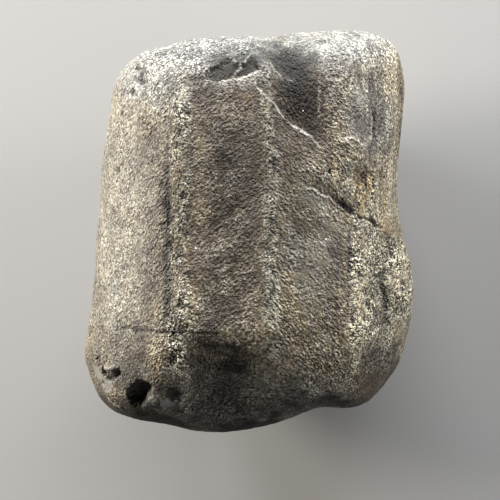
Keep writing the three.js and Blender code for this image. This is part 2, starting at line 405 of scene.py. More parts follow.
@dataclass
class WornBody:
    """The round, worn body of the stone before its fine relief, in millimetres.

    Each surface point is given by the way to it from the middle, so the body is one closed skin.
    """

    front_depth: float = 22.4
    back_depth: float = 23.5
    across_roundness: float = 2.25
    front_roundness: Point = (3.5, 3.8)
    back_roundness: Point = (3.3, 2.5)
    wear: float = 15.0
    rim_softness: float = 0.16
    outline_steps: int = 12
    halvings: int = 40
    radius_table: tuple[Array, Array] = field(init=False)

    def __post_init__(self) -> None:
        """Works out the outline's radius at each angle."""
        self.radius_table = self._outline_radii(self.outline_steps)

    def _outline_radii(self, steps: int) -> tuple[Array, Array]:
        """Samples the smooth closed curve through the outline's points.

        Args:
            steps: Samples between two points.

        Returns:
            Rising angles and the radius at each, running a little past a full turn.
        """
        points = np.array(OUTLINE)
        share = np.arange(steps)[:, None] / steps
        before, start = np.roll(points, 1, axis=0), points
        end, after = np.roll(points, -1, axis=0), np.roll(points, -2, axis=0)
        pull_in, pull_out = (end - before) / 2, (after - start) / 2
        curve = []
        for p, q, m, n in zip(start, end, pull_in, pull_out):
            cubic = 2 * p - 2 * q + m + n
            square = -3 * p + 3 * q - 2 * m - n
            curve.append(p + m * share + square * share**2 + cubic * share**3)
        samples = np.concatenate(curve)
        angles = np.arctan2(samples[:, 1], samples[:, 0])
        radii = np.hypot(samples[:, 0], samples[:, 1])
        order = np.argsort(angles)
        angles, radii = angles[order], radii[order]
        turn = 2 * math.pi
        return (
            np.concatenate([[angles[-1] - turn], angles, [angles[0] + turn]]),
            np.concatenate([[radii[-1]], radii, [radii[0]]]),
        )

    def reach(self, ways: Array) -> Array:
        """Distance from the middle to the body in each unit direction.

        Args:
            ways: Rows of unit directions (u, v, w).

        Returns:
            One distance for each row.
        """
        in_plane = np.hypot(ways[:, 0], ways[:, 1])
        angle = np.arctan2(ways[:, 1], ways[:, 0])
        radius = np.interp(angle, *self.radius_table)
        along_share = np.sin(angle) ** 2
        upper, lower = (
            np.where(ways[:, 2] > 0, front, back)
            for front, back in zip(self.front_roundness, self.back_roundness)
        )
        along = np.where(ways[:, 1] > 0, upper, lower)
        power = self.across_roundness + (along - self.across_roundness) * along_share
        depth = np.where(ways[:, 2] > 0, self.front_depth, self.back_depth)
        shape = ((in_plane / radius) ** power + (np.abs(ways[:, 2]) / depth) ** power) ** (1 / power)
        total = shape**self.wear
        for flat in FLATS:
            normal = np.array(flat.toward) / np.linalg.norm(flat.toward)
            total += np.maximum(0, ways @ normal / flat.at) ** self.wear
        return total ** (-1 / self.wear)

    def outward(self, points: Array) -> Array:
        """The way out of the body at each of its points.

        Args:
            points: Rows of u, v, w on the body.

        Returns:
            Rows of unit directions.
        """
        step = 0.05
        slope = np.zeros_like(points)
        for axis in range(3):
            for sign in (1, -1):
                moved = points.copy()
                moved[:, axis] += sign * step
                length = np.linalg.norm(moved, axis=1)
                slope[:, axis] += sign * (length - self.reach(moved / length[:, None]))
        return slope / np.linalg.norm(slope, axis=1)[:, None]

    def swell_height(self, points: Array) -> Array:
        """Height of all swells at each point of the body.

        Args:
            points: Rows of u, v, w on the body.

        Returns:
            One height in millimetres for each row.
        """
        height = np.zeros(len(points))
        for swell in SWELLS:
            across, along = swell.measure(points)
            fade = on_face(points, swell.side, -2, 3)
            height += fade * swell.height * np.exp(-(across**2) - along**4)
        return height

    def surface(self, ways: Array) -> tuple[Array, Array]:
        """Points of the body with its swells, and the way out at each.

        Args:
            ways: Rows of unit directions.

        Returns:
            Rows of points and rows of unit directions.
        """
        points = ways * self.reach(ways)[:, None]
        out = self.outward(points)
        return points + out * self.swell_height(points)[:, None], out

    def over(self, place: Point, side: Side) -> tuple[Array, Array]:
        """The point of the body over a place of the broad face or of the back.

        Args:
            place: (u, v) in millimetres.
            side: The face or the back.

        Returns:
            The point and the way out there.
        """
        low, high = 0.0, 2 * self.front_depth
        for _ in range(self.halvings):
            middle = (low + high) / 2
            point = np.array([[*place, side * middle]])
            length = np.linalg.norm(point)
            if length < self.reach(point / length)[0]:
                low = middle
            else:
                high = middle
        point = np.array([[*place, side * low]])
        out = self.outward(point)
        return (point + out * self.swell_height(point)[:, None])[0], out[0]

    def cut_scars(self, points: Array) -> tuple[Array, Array]:
        """Cuts the scars and holes into a skin, each as the ellipsoid's inner wall.

        Args:
            points: Rows of points on the skin.

        Returns:
            The cut skin's points, and how deep each now lies below the old skin.
        """
        length = np.linalg.norm(points, axis=1)
        ways = points / length[:, None]
        cut = length.copy()
        for scar in SCARS:
            touch, out = self.over(scar.at, scar.side)
            along = np.array([0.0, 1.0, 0.0]) - out * out[1]
            along /= np.linalg.norm(along)
            across = np.cross(along, out)
            turn = math.radians(scar.spin)
            widen = 1 / math.sqrt(1 - (scar.lift / (1 + scar.lift)) ** 2)
            axes = np.stack([
                (across * math.cos(turn) + along * math.sin(turn)) / (scar.half[0] * widen),
                (along * math.cos(turn) - across * math.sin(turn)) / (scar.half[1] * widen),
                out / (scar.depth * (1 + scar.lift)),
            ])
            middle = touch + out * scar.depth * scar.lift
            direction = ways @ axes.T
            start = -(axes @ middle)
            a = (direction**2).sum(1)
            b = direction @ start
            c = start @ start - 1
            inside = b * b - a * c
            root = np.sqrt(np.maximum(inside, 0))
            near, far = (-b - root) / a, (-b + root) / a
            hit = (inside > 0) & (near > 0) & (far > length)
            softness = self.rim_softness
            mix = np.clip(0.5 + 0.5 * (near - cut) / softness, 0, 1)
            soft = near * (1 - mix) + cut * mix - softness * mix * (1 - mix)
            cut = np.where(hit, np.minimum(soft, cut), cut)
        return ways * cut[:, None], length - cut


# ---------------------------------------------------------------- relief and marks


DIRT_AND_SHADE_IN_CRACKS = 0.8  # share of painted shade and dark dirt on the floor of a crack or pit
NARROW_MM = 0.5  # half-width below which a crease is coloured: painted shade and dark dirt in a crack, a painted highlight on a ridge
JAGGED_RIDGES = 0.35  # how ragged ridges are, where cracks are 1
RIDGE_HIGHLIGHT_MM = 0.12  # half-width of the pale painted highlight line on a ridge


@dataclass(frozen=True)
class GrainBand:
    """A band of coarse pale quartz grains: at each v its left and right edges, and its strength."""

    edges: tuple[tuple[float, float, float], ...]
    strength: float
    side: Side = Side.FACE
    wander_mm: float = 0.3
    wander_size: Size = (30.0, 1.6, 30.0)
    ragged_mm: float = 0.25
    ragged_size: float = 0.7
    gap_size: Size = (2.0, 3.0, 2.0)
    fade_mm: float = 2.0

    def share(self, places: Array) -> Array:
        """How much of the band lies at each place, from 0 to its strength.

        Args:
            places: Rows of u, v, w.

        Returns:
            One share for each row.
        """
        levels, left_edge, right_edge = np.array(sorted(self.edges)).T
        wander = self.wander_mm * lattice_noise(places / np.array(self.wander_size), Seed.BAND_WANDER)
        left = np.interp(places[:, 1], levels, left_edge) + wander
        right = np.interp(places[:, 1], levels, right_edge) + wander
        inner = np.minimum(places[:, 0] - left, right - places[:, 0])
        inner += self.ragged_mm * lattice_noise(places / self.ragged_size, Seed.BAND_EDGE)
        ragged = smoothstep(inner, -0.25, 0.35)
        from_end = np.minimum(places[:, 1] - levels[0], levels[-1] - places[:, 1])
        ends = smoothstep(from_end, 0, self.fade_mm)
        patchy = 0.8 + 0.6 * lattice_noise(places / np.array(self.gap_size), Seed.BAND_GAPS)
        return ragged * ends * on_face(places, self.side) * self.strength * np.clip(patchy, 0.2, 1)


@dataclass
class PressedFace:
    """The face while ledges, cracks, pits and flakes are pressed into it.

    The places are those of its skin as rows of u, v, w: smooth, and jagged at random, so that
    lines drawn over them turn out ragged. The marks are shares from 0 to 1.
    """

    smooth: Array
    jagged: Array
    height: Array
    marks: dict[str, Array]


@dataclass(frozen=True)
class Ledge:
    """A fracture step: left of its line the face has dropped, and rises again further off."""

    name: str
    line: Line
    drop: float
    run_out: float
    edge_highlight_strength: float = 1.0
    dirt_and_shade: float = 0.3
    stain: float = 1.0
    edge_highlight_width: float = 0.14
    side: Side = Side.FACE
    crest_height: float = 0.08
    crest_width: float = 0.2
    dirt_and_shade_width: float = 0.18
    dirt_and_shade_offset: float = 0.32

    def press(self, face: PressedFace) -> None:
        """Presses the step into the face: a pale line of painted highlight on its edge, painted shadow with
        dark dirt below it, and a broken tread.

        Args:
            face: The face, whose height and marks are changed.
        """
        off, side, along = distance_to_line(face.jagged, self.line)
        off = off * side
        there = on_face(face.jagged, self.side) * tapered(along, 0.85)
        dropped = smoothstep(off, -0.05, 0.25) * bell(off, self.run_out) * there
        crest = bell(off, self.crest_width, -0.1) * there
        face.height -= self.drop * dropped
        face.height += self.crest_height * crest
        # painted highlight: a broken pale line along the step's lit edge
        patchy = 0.7 + 1.2 * lattice_noise(face.smooth / 0.9, Seed.PATCHY_HIGHLIGHTS)
        edge_highlight = self.edge_highlight_strength * np.clip(patchy, 0.15, 1) * bell(off, self.edge_highlight_width, -0.04) * there
        face.marks["edge_highlight"] = np.maximum(face.marks["edge_highlight"], edge_highlight)
        # painted shadow with dark dirt, in a line just below the step
        face.marks["crevice"] += self.dirt_and_shade * bell(off, self.dirt_and_shade_width, self.dirt_and_shade_offset) * there
        face.marks["broken"] += self.stain * dropped


@dataclass(frozen=True)
class Crease:
    """A ridge along a line, or a crack if its height is negative. Narrow cracks get painted shade, narrow
    ridges a painted highlight.
    """

    name: str
    line: Line
    height: float
    half_width: float
    side: Side = Side.FACE

    @property
    def narrow(self) -> bool:
        """Whether the crease has a sharp edge and painted colour: shade with dark dirt in a crack, a
        highlight on a ridge.
        """
        return self.half_width < NARROW_MM

    def press(self, face: PressedFace) -> None:
        """Presses the crack into the face with painted shade and dark dirt, or raises the ridge with a pale
        line of painted highlight.

        Args:
            face: The face, whose height and marks are changed.
        """
        crack = self.height < 0
        ridge_places = (1 - JAGGED_RIDGES) * face.smooth + JAGGED_RIDGES * face.jagged
        off, _, along = distance_to_line(face.jagged if crack else ridge_places, self.line)
        there = on_face(face.jagged, self.side) * tapered(along, 0.8)
        shape = bell(off, self.half_width) * there
        face.height += self.height * shape
        # narrow cracks are darkened with painted shade and dark dirt, narrow ridges get a pale line of
        # painted highlight
        if self.narrow and crack:
            face.marks["crevice"] += DIRT_AND_SHADE_IN_CRACKS * shape
        elif self.narrow:
            edge_highlight = np.clip(4 * self.height - 0.2, 0.15, 0.6) * bell(off, RIDGE_HIGHLIGHT_MM) * there
            face.marks["edge_highlight"] = np.maximum(face.marks["edge_highlight"], edge_highlight)


@dataclass(frozen=True)
class Pit(Oval):
    """A small weathered pit: its place, half-lengths across and along, turn and depth."""

    at: Point
    half: Point
    spin: float
    depth: float
    side: Side = Side.FACE

    def press(self, face: PressedFace) -> None:
        """Presses the pit into the face, with painted shade and dark dirt in it.

        Args:
            face: The face, whose height and marks are changed.
        """
        across, along = self.measure(face.jagged)
        shape = np.exp(-((across**2 + along**2) ** 1.5)) * on_face(face.jagged, self.side)
        face.height -= self.depth * shape
        # painted shade and dark dirt in the pit
        face.marks["crevice"] += DIRT_AND_SHADE_IN_CRACKS * shape


class Floor(Enum):
    """What the floor of a flaked facet looks like: the name of its mark."""

    BROKEN = "broken"
    # pale worn floor, painted lighter as well where it faces the light
    WORN_AND_LIT = "worn"
    # painted shade and dark dirt on the floor of a hole
    DIRT_AND_SHADE = "crevice"


@dataclass(frozen=True)
class Flake:
    """A facet where a flake came off: a flat floor inside an outline, sinking towards the foot."""

    name: str
    outline: Line
    depth: float
    fall: float = 0.0
    edge: float = 0.12
    floor: Floor = Floor.BROKEN
    shade: float = 1.0
    side: Side = Side.FACE

    def share(self, places: Array) -> Array:
        """How far inside the outline each place lies, from 0 to 1.

        Args:
            places: Rows of u, v, w.

        Returns:
            One share for each row.
        """
        off, _, _ = distance_to_line(places, (*self.outline, self.outline[0]))
        off = np.where(inside_outline(places, self.outline), off, -off)
        return smoothstep(off, -self.edge, self.edge) * on_face(places, self.side)

    def press(self, face: PressedFace) -> None:
        """Presses the facet into the face, with the colour of its floor.

        Args:
            face: The face, whose height and marks are changed.
        """
        middle = np.mean([v for _, v in self.outline])
        sunk = np.maximum(self.depth + self.fall * (middle - face.jagged[:, 1]), 0.05)
        share = self.share(face.jagged)
        face.height -= sunk * share
        face.marks[self.floor.value] += self.shade * share
        face.marks["flat"] = np.maximum(face.marks["flat"], share)


@dataclass(frozen=True)
class Patch(Oval):
    """A soft-edged patch of colour or roughness: its place, half-lengths, strength and turn."""

    at: Point
    half: Point
    strength: float
    spin: float = 0.0
    side: Side = Side.FACE

    def share(self, places: Array) -> Array:
        """How strong the patch is at each place."""
        inner = 1 - smoothstep(np.hypot(*self.measure(places)), 0.4, 1.25)
        return inner * on_face(places, self.side, -14, 2) * self.strength


BANDS: tuple[GrainBand, ...] = (
    GrainBand((
        (-18.0, -10.9, -8.0), (-15.0, -10.7, -8.1), (4.0, -10.6, -7.9), (14.4, -10.2, -7.7),
        (20.0, -9.8, -7.6),
    ), 1.0),
    GrainBand((
        (-18.0, 1.2, 3.4), (-8.0, 1.6, 3.5), (5.0, 1.3, 3.3), (15.0, 1.4, 3.2), (23.0, 1.0, 2.4),
    ), 0.52),
    GrainBand((
        (-18.0, 12.7, 14.8), (-12.0, 12.4, 15.6), (-8.0, 12.5, 15.9), (-1.9, 12.6, 16.4),
        (0.8, 12.7, 16.8), (2.5, 13.1, 16.6), (4.4, 13.7, 16.2), (7.5, 14.0, 16.1), (10.0, 14.6, 15.9),
    ), 1.0),
    GrainBand((
        (-12.0, 18.8, 20.6), (-9.0, 18.1, 21.8), (-6.0, 17.6, 22.2), (-3.0, 17.3, 22.0),
        (-1.0, 17.5, 21.6), (0.8, 18.2, 20.6),
    ), 0.95),
    GrainBand(((-18.5, 14.4, 18.5), (-10.0, 15.0, 18.6), (-1.9, 15.6, 18.8), (0.8, 16.0, 18.4)), 0.75),
    GrainBand(((-17.0, -6.5, -3.5), (15.0, -6.0, -3.0)), 0.8, side=Side.BACK),
    GrainBand(((-14.0, 7.8, 10.2), (18.0, 8.4, 10.8)), 0.8, side=Side.BACK),
)

# After each line come the drop, the run-out, the painted highlight on the edge, the painted shadow and dark
# dirt below it, the broken stain and, for one, the highlight's width.
LEDGES: tuple[Ledge, ...] = (
    Ledge("ledge of the hollow", (
        (0.2, 20.3), (0.6, 18.8), (1.3, 17.7), (3.0, 16.5), (4.0, 14.9), (5.1, 13.8), (6.7, 12.9),
        (7.8, 12.1), (8.4, 11.3), (8.8, 10.3),
    ), 0.55, 2.6, 1.0, 0.2, 0.8),
    Ledge("short ledge", (
        (6.3, 5.7), (7.7, 5.8), (9.0, 5.1), (10.3, 4.3), (11.3, 3.5), (12.2, 2.7), (13.2, 2.3),
    ), 0.4, 1.1, 0.08, 0.6, 0.4),
    Ledge("ledge over the boss", (
        (11.7, 11.4), (12.0, 11.9), (12.6, 12.3), (13.4, 12.0), (13.9, 11.5), (14.9, 11.3),
    ), 0.35, 1.6, 0.8, 0.1, 0.4),
    Ledge("lower rim of the flake scar", (
        (-6.4, 20.4), (-5.7, 19.3), (-4.7, 19.1), (-3.4, 19.4), (-2.2, 19.6), (-1.0, 19.9), (0.3, 20.4),
        (1.4, 21.0),
    ), 0.05, 0.6, 1.0, 0.0, 0.0, 0.44),
    Ledge("upper rim of the foot trough", (
        (1.6, -15.6), (-0.6, -14.2), (-3.2, -13.6), (-6.0, -13.7), (-8.6, -14.6),
    ), 0.25, 2.4, 0.1, 0.15, 0.2),
)

FLAKES: tuple[Flake, ...] = (
    Flake("flake scar", (
        (-5.9, 20.6), (-5.0, 21.3), (-3.8, 21.9), (-2.8, 22.5), (-1.6, 21.7), (-0.7, 22.1), (0.4, 22.4),
        (0.7, 21.6), (1.0, 20.9), (0.2, 20.6), (-1.0, 20.1), (-2.2, 19.8), (-3.4, 19.6), (-4.7, 19.3),
        (-5.6, 19.5),
    ), 0.55, 0.22, 0.14),
    Flake("upper facet of the scar", (
        (-1.5, 23.2), (-0.2, 23.2), (-0.8, 22.4), (-1.4, 22.0), (-2.0, 22.5),
    ), 0.45, 0.3, 0.12),
    Flake("bitten patch of the head", (
        (-15.7, 22.3), (-14.9, 22.0), (-14.2, 21.3), (-13.6, 20.9), (-13.5, 19.4), (-14.5, 19.4),
        (-15.4, 20.1), (-15.2, 21.2),
    ), 0.2, 0.1, 0.14, Floor.BROKEN, 0.3),
    # the holes' floors take painted shade and dark dirt
    Flake("largest hole", (
        (-15.4, -19.3), (-14.6, -18.8), (-13.5, -18.9), (-13.0, -19.7), (-13.5, -21.0), (-14.3, -21.9),
        (-15.1, -21.9), (-15.8, -21.1), (-15.9, -20.0),
    ), 1.5, 0.1, 0.5, Floor.DIRT_AND_SHADE, 0.95),
    Flake("shallow hole", (
        (-11.2, -20.4), (-10.9, -19.5), (-9.8, -19.6), (-9.1, -20.1), (-9.5, -20.9), (-10.7, -21.0),
    ), 0.55, 0.1, 0.4, Floor.DIRT_AND_SHADE, 0.8),
    # Pale facets: their own pale grey, painted lighter as well where they face the lamps.
    Flake("pale facet between the holes", (
        (-12.1, -20.7), (-10.9, -21.1), (-9.9, -21.5), (-10.3, -22.3), (-11.3, -22.1), (-11.9, -21.8),
    ), 0.1, 0.1, 0.08, Floor.WORN_AND_LIT, 1.0),
    Flake("pale chip beside the largest hole", (
        (-12.9, -20.4), (-12.2, -20.0), (-12.1, -20.8), (-12.8, -21.5), (-13.5, -22.3), (-13.5, -21.6),
    ), 0.1, 0.05, 0.08, Floor.WORN_AND_LIT, 0.9),
    Flake("crescent hole of the left foot", (
        (-19.5, -17.1), (-19.6, -18.1), (-19.0, -18.9), (-18.1, -18.9), (-17.2, -18.1), (-17.3, -17.1),
        (-17.9, -17.8), (-18.5, -18.1), (-19.1, -17.7),
    ), 0.8, 0.0, 0.14, Floor.DIRT_AND_SHADE, 1.0),
    Flake("worn facet of the left foot", (
        (-21.2, -16.9), (-20.4, -17.2), (-20.0, -17.6), (-19.6, -18.5), (-18.4, -18.9), (-18.3, -19.6),
        (-18.5, -20.6), (-19.3, -20.3), (-20.2, -19.3), (-20.9, -18.2),
    ), 0.12, 0.0, 0.12, Floor.WORN_AND_LIT, 0.4),
)

CREASES: tuple[Crease, ...] = (
    Crease("rib across the hollow", (
        (2.0, 22.5), (2.3, 22.1), (3.0, 20.9), (4.0, 19.8), (5.1, 19.5), (6.0, 19.5),
    ), 0.14, 0.2),
    Crease("pale ridge right of the hollow", ((8.6, 20.2), (8.6, 16.9), (8.5, 14.2)), 0.16, 0.24),
    Crease("crack in the head", ((8.2, 24.9), (9.2, 24.6), (10.2, 24.5)), -0.15, 0.14),
    Crease("upright ridge", ((15.2, 11.3), (15.3, 12.8), (15.4, 15.6)), 0.2, 0.2),
    Crease("upright groove", ((15.9, 16.0), (15.8, 14.1), (16.1, 11.5)), -0.14, 0.2),
    Crease("cross crack", (
        (-18.2, -12.1), (-16.4, -12.0), (-14.8, -12.25), (-13.1, -12.2), (-11.0, -12.35), (-9.3, -12.2),
        (-7.5, -12.3),
    ), -0.24, 0.13),
    Crease("cross crack, faint end", ((-9.3, -12.2), (-6.9, -12.4), (-3.5, -12.3)), -0.1, 0.12),
    Crease("crack in the right flank", (
        (13.2, 2.4), (14.6, 2.1), (15.8, 1.8), (16.5, 1.2), (17.0, 0.6),
    ), -0.3, 0.16),
    Crease("notch at the end of the short ledge", (
        (11.0, 4.3), (11.9, 3.7), (12.7, 3.1), (13.3, 2.4),
    ), -0.3, 0.34),
    Crease("edge of the ochre strip", ((13.3, 2.6), (13.3, 4.0), (13.6, 6.0), (13.9, 8.0)), -0.14, 0.16),
    Crease("second crack in it", ((17.9, -0.3), (18.9, -0.5), (19.2, -1.3), (19.5, -1.9)), -0.25, 0.18),
    Crease("dark groove of the right flank", (
        (17.1, -3.6), (17.2, -6.6), (17.5, -8.5), (17.7, -11.5),
    ), -0.45, 0.36),
    Crease("rib of the right edge", ((16.2, -1.0), (17.6, -2.6), (18.8, -4.2), (19.6, -6.2)), 0.22, 0.35),
    Crease("left edge of the pale corner", ((12.6, 2.0), (12.4, -1.0), (12.3, -6.0)), -0.12, 0.18),
    Crease("wrinkle in the foot", ((-1.7, -20.4), (-1.2, -19.3), (-1.0, -18.2)), 0.2, 0.2),
    Crease("ridge in the flake scar", (
        (0.3, 23.4), (-0.3, 22.6), (-0.8, 22.0), (-1.4, 21.8), (-1.4, 21.2), (-1.8, 20.9), (-2.4, 20.1),
        (-2.7, 19.7),
    ), 0.2, 0.2),
    Crease("second ridge in it", (
        (-3.4, 23.0), (-2.8, 22.6), (-2.2, 22.1), (-1.6, 21.6), (-1.3, 21.4),
    ), 0.16, 0.2),
    Crease("knob in the left foot", (
        (-19.2, -17.0), (-18.7, -17.3), (-18.2, -17.3), (-17.6, -16.8),
    ), 0.5, 0.35),
    Crease("bright chip of the left foot", (
        (-19.0, -21.2), (-18.5, -21.7), (-18.0, -22.0), (-17.5, -22.1),
    ), 0.2, 0.18),
    # quartz tips: small ridges whose pale line is a painted glint
    Crease("quartz tips of the left rim", ((-18.1, -21.9), (-17.5, -22.1), (-16.9, -22.4)), 0.25, 0.2),
    Crease("quartz tip beside the shallow hole", ((-8.7, -22.3), (-8.2, -22.6)), 0.3, 0.2),
    Crease("quartz tips of the foot rim", ((-2.2, -23.0), (-1.4, -23.1), (-0.9, -23.5)), 0.25, 0.2),
    Crease("quartz tip above the foot rim", ((-0.6, -21.2), (-0.5, -21.9), (-0.8, -22.3)), 0.3, 0.2),
    Crease("quartz tip in the first band", ((-9.1, -15.5), (-9.0, -16.1)), 0.2, 0.18),
    Crease("quartz tip under the cross crack", ((-1.9, -13.1), (-1.8, -13.9)), 0.2, 0.2),
    Crease("pale vein in the left foot", ((-17.8, -7.4), (-17.8, -11.0), (-17.8, -15.6)), 0.12, 0.14),
    Crease("curved hair line", ((-0.1, 13.6), (-0.5, 13.0), (-0.7, 12.4), (-1.3, 11.9)), 0.06, 0.1),
    Crease("trough beside the first band", (
        (-11.1, -14.0), (-10.9, -6.0), (-10.8, 6.0), (-10.4, 16.0),
    ), -0.08, 0.4),
    Crease("swell of the first band", ((-9.0, -17.0), (-9.0, 0.0), (-8.8, 20.0)), 0.22, 1.1),
    Crease("swell of the second band", ((2.2, -17.0), (2.5, -6.0), (2.3, 8.0), (1.9, 20.0)), 0.2, 0.9),
)

PITS: tuple[Pit, ...] = (
    Pit((-15.1, 21.9), (0.4, 0.35), 0, 0.4),
    Pit((-14.5, 20.1), (0.4, 0.6), 20, 0.4),
    Pit((-15.7, 18.5), (0.3, 0.5), -20, 0.3),
    Pit((-17.1, 15.9), (0.2, 0.35), 0, 0.2),
    Pit((9.9, 8.0), (0.16, 0.4), -5, 0.3),
    Pit((-20.3, -16.4), (0.35, 0.75), 10, 0.6),
    Pit((3.3, 24.4), (0.8, 0.35), 0, 0.35),
    Pit((-19.8, -19.3), (0.3, 0.3), 0, 0.2),
    Pit((15.8, 15.0), (0.2, 0.5), 20, 0.3),
    Pit((20.1, -6.1), (0.25, 0.6), 30, 0.4),
    Pit((19.4, -14.8), (0.45, 0.9), -25, 0.7),
    Pit((-17.6, 8.5), (0.25, 0.5), -25, 0.2),
    Pit((-18.2, 3.1), (0.2, 0.45), 20, 0.2),
)

WORN_PATCHES: tuple[Patch, ...] = (
    Patch((13.8, 17.0), (0.7, 1.6), 0.2),
    Patch((13.7, 13.4), (1.2, 1.2), 0.15),
)

OCHRE_PATCHES: tuple[Patch, ...] = (
    Patch((14.9, 6.6), (1.1, 2.5), 0.95),
    Patch((14.3, 3.6), (0.9, 1.8), 0.75),
    Patch((-1.3, 17.8), (1.0, 0.9), 0.5),
    Patch((18.3, 1.0), (0.7, 1.4), 0.4, 10),
    Patch((18.3, -0.9), (0.6, 0.5), 0.5),
    Patch((-9.0, -2.0), (1.1, 4.5), 0.45),
    Patch((-9.0, 8.0), (0.9, 3.0), 0.3),
    Patch((13.7, -8.8), (0.8, 1.4), 0.25),
    Patch((13.3, -13.5), (0.8, 1.4), 0.25),
)

# Painted sheen: a grey hue laid where a lamp's reflection whitens the stone, on the head, the flanks and
# the foot.
PAINTED_SHEEN_PATCHES: tuple[Patch, ...] = (
    Patch((-6.0, 27.0), (14.0, 8.0), 0.95, -10),
    Patch((12.0, 26.5), (13.0, 6.5), 0.8, 10),
    Patch((-13.5, 21.5), (7.0, 7.0), 0.8),
    Patch((-17.5, 3.0), (5.5, 22.0), 0.45),
    Patch((-1.0, -21.0), (15.0, 6.0), 0.5),
    Patch((15.5, 15.0), (4.0, 6.0), 0.5),
    Patch((7.5, 0.0), (4.0, 9.0), 0.3),
    Patch((-15.0, -19.5), (5.0, 3.5), 0.4, -30),
)

# Patches that make the tone lighter or darker: partly the stone's own tone, partly painted light and shade,
# as marked below.
TONE_AND_PAINTED_LIGHT_PATCHES: tuple[Patch, ...] = (
    # the left flank and the first band
    Patch((-17.5, 6.0), (5.5, 21.0), 0.45),
    Patch((-13.2, 0.0), (1.8, 17.0), -0.4),
    Patch((-15.5, -15.5), (3.5, 6.0), -0.45),
    Patch((-10.4, -16.6), (2.8, 4.0), 0.8),
    Patch((-11.1, 0.0), (0.8, 11.0), -0.35),
    Patch((-9.2, 3.0), (1.6, 18.0), -0.45),
    Patch((-8.2, -3.4), (5.0, 1.9), -0.35),
    # the head
    # painted light: the head lighter where the lamp beyond it falls
    Patch((-10.5, 22.0), (4.5, 2.5), 0.4),
    Patch((-13.4, 18.0), (2.5, 4.5), 0.4),
    Patch((17.0, 23.5), (4.5, 3.5), 0.5),
    Patch((18.6, 14.0), (2.4, 12.0), 0.25),
    Patch((0.0, 22.6), (8.0, 2.2), -0.45),
    # painted light along the top edge
    Patch((-1.0, 26.0), (22.0, 3.4), 0.2),
    # painted shade in the flake scar
    Patch((-2.4, 21.3), (3.0, 1.4), -1.0, 13),
    Patch((-0.6, 22.6), (1.4, 0.9), -1.1),
    Patch((-6.0, 19.2), (6.0, 1.6), -0.35),
    # the hollow below the saddle
    # painted shade in and around the hollow below the saddle
    Patch((5.4, 19.0), (5.0, 7.4), -0.85, 8),
    Patch((6.0, 17.0), (3.4, 6.4), -0.5),
    Patch((5.3, 20.3), (2.2, 3.2), -1.4),
    Patch((6.5, 11.5), (3.0, 2.4), -0.4),
    Patch((8.6, 14.4), (1.8, 4.6), -0.55),
    Patch((2.2, 17.2), (1.4, 2.0), 0.65),
    Patch((5.0, 13.2), (1.8, 1.4), 0.5, -35),
    # the middle
    Patch((-1.5, 7.0), (7.0, 17.0), -0.75),
    Patch((-3.6, 11.0), (2.6, 7.0), -0.2),
    Patch((-6.8, 3.3), (1.6, 2.6), 0.75),
    Patch((-2.8, 15.0), (2.6, 2.4), 0.5),
    Patch((-4.4, 4.0), (2.4, 5.5), 0.25),
    Patch((5.5, -9.5), (3.0, 3.6), 0.5),
    Patch((0.4, -12.1), (3.4, 2.0), 0.6),
    Patch((-3.6, -9.8), (2.8, 3.0), -0.6),
    # the right side and the pale corner
    Patch((8.8, 7.6), (2.4, 3.0), 0.55),
    Patch((11.5, 8.0), (2.6, 4.0), 0.6),
    Patch((11.2, -1.0), (1.8, 2.8), -0.6),
    Patch((11.8, 13.8), (1.6, 1.8), 0.5),
    Patch((5.6, 8.2), (1.8, 2.6), -0.45),
    Patch((18.8, 12.3), (1.8, 3.2), -0.4),
    Patch((11.5, 20.5), (2.6, 3.8), -0.45),
    Patch((15.2, 17.6), (2.2, 6.0), -0.5),
    # painted shadow under the short ledge
    Patch((12.0, 4.0), (1.4, 0.7), -0.6, -40),
    Patch((17.8, 2.8), (2.4, 2.4), 0.45),
    Patch((14.8, 4.8), (1.0, 3.2), 0.35),
    Patch((16.5, -5.0), (4.5, 12.0), -0.35),
    Patch((15.3, -0.6), (2.2, 3.0), 0.3),
    Patch((19.2, -5.0), (1.6, 3.0), 0.5),
    # painted shade in the dark groove of the right flank
    Patch((17.6, -9.4), (1.1, 3.2), -0.6),
    Patch((13.9, -9.5), (1.4, 6.0), 0.5),
    Patch((15.6, -12.8), (3.0, 1.7), 0.5),
    # painted shade in the lower right corner, which turns away from the lamps
    Patch((16.6, -17.2), (4.4, 5.0), -1.1),
    # the foot
    Patch((4.5, -18.2), (8.0, 2.6), 0.7),
    Patch((0.9, -19.4), (3.0, 2.4), 1.4),
    Patch((9.5, -21.7), (6.5, 1.8), -0.8),
    # painted shadow under the upper rim of the foot trough
    Patch((-4.2, -16.2), (5.0, 1.6), -0.45, -3),
    Patch((-5.4, -19.4), (3.0, 3.8), -0.35),
    Patch((-7.1, -17.2), (1.7, 2.6), -0.6),
    # painted shade along the foot's lower rim, which no lamp reaches from below
    Patch((-14.5, -24.9), (9.0, 3.0), -1.1, -20),
    Patch((-4.0, -27.6), (19.0, 4.6), -0.9),
    Patch((1.0, -25.0), (6.0, 1.6), -0.8),
)

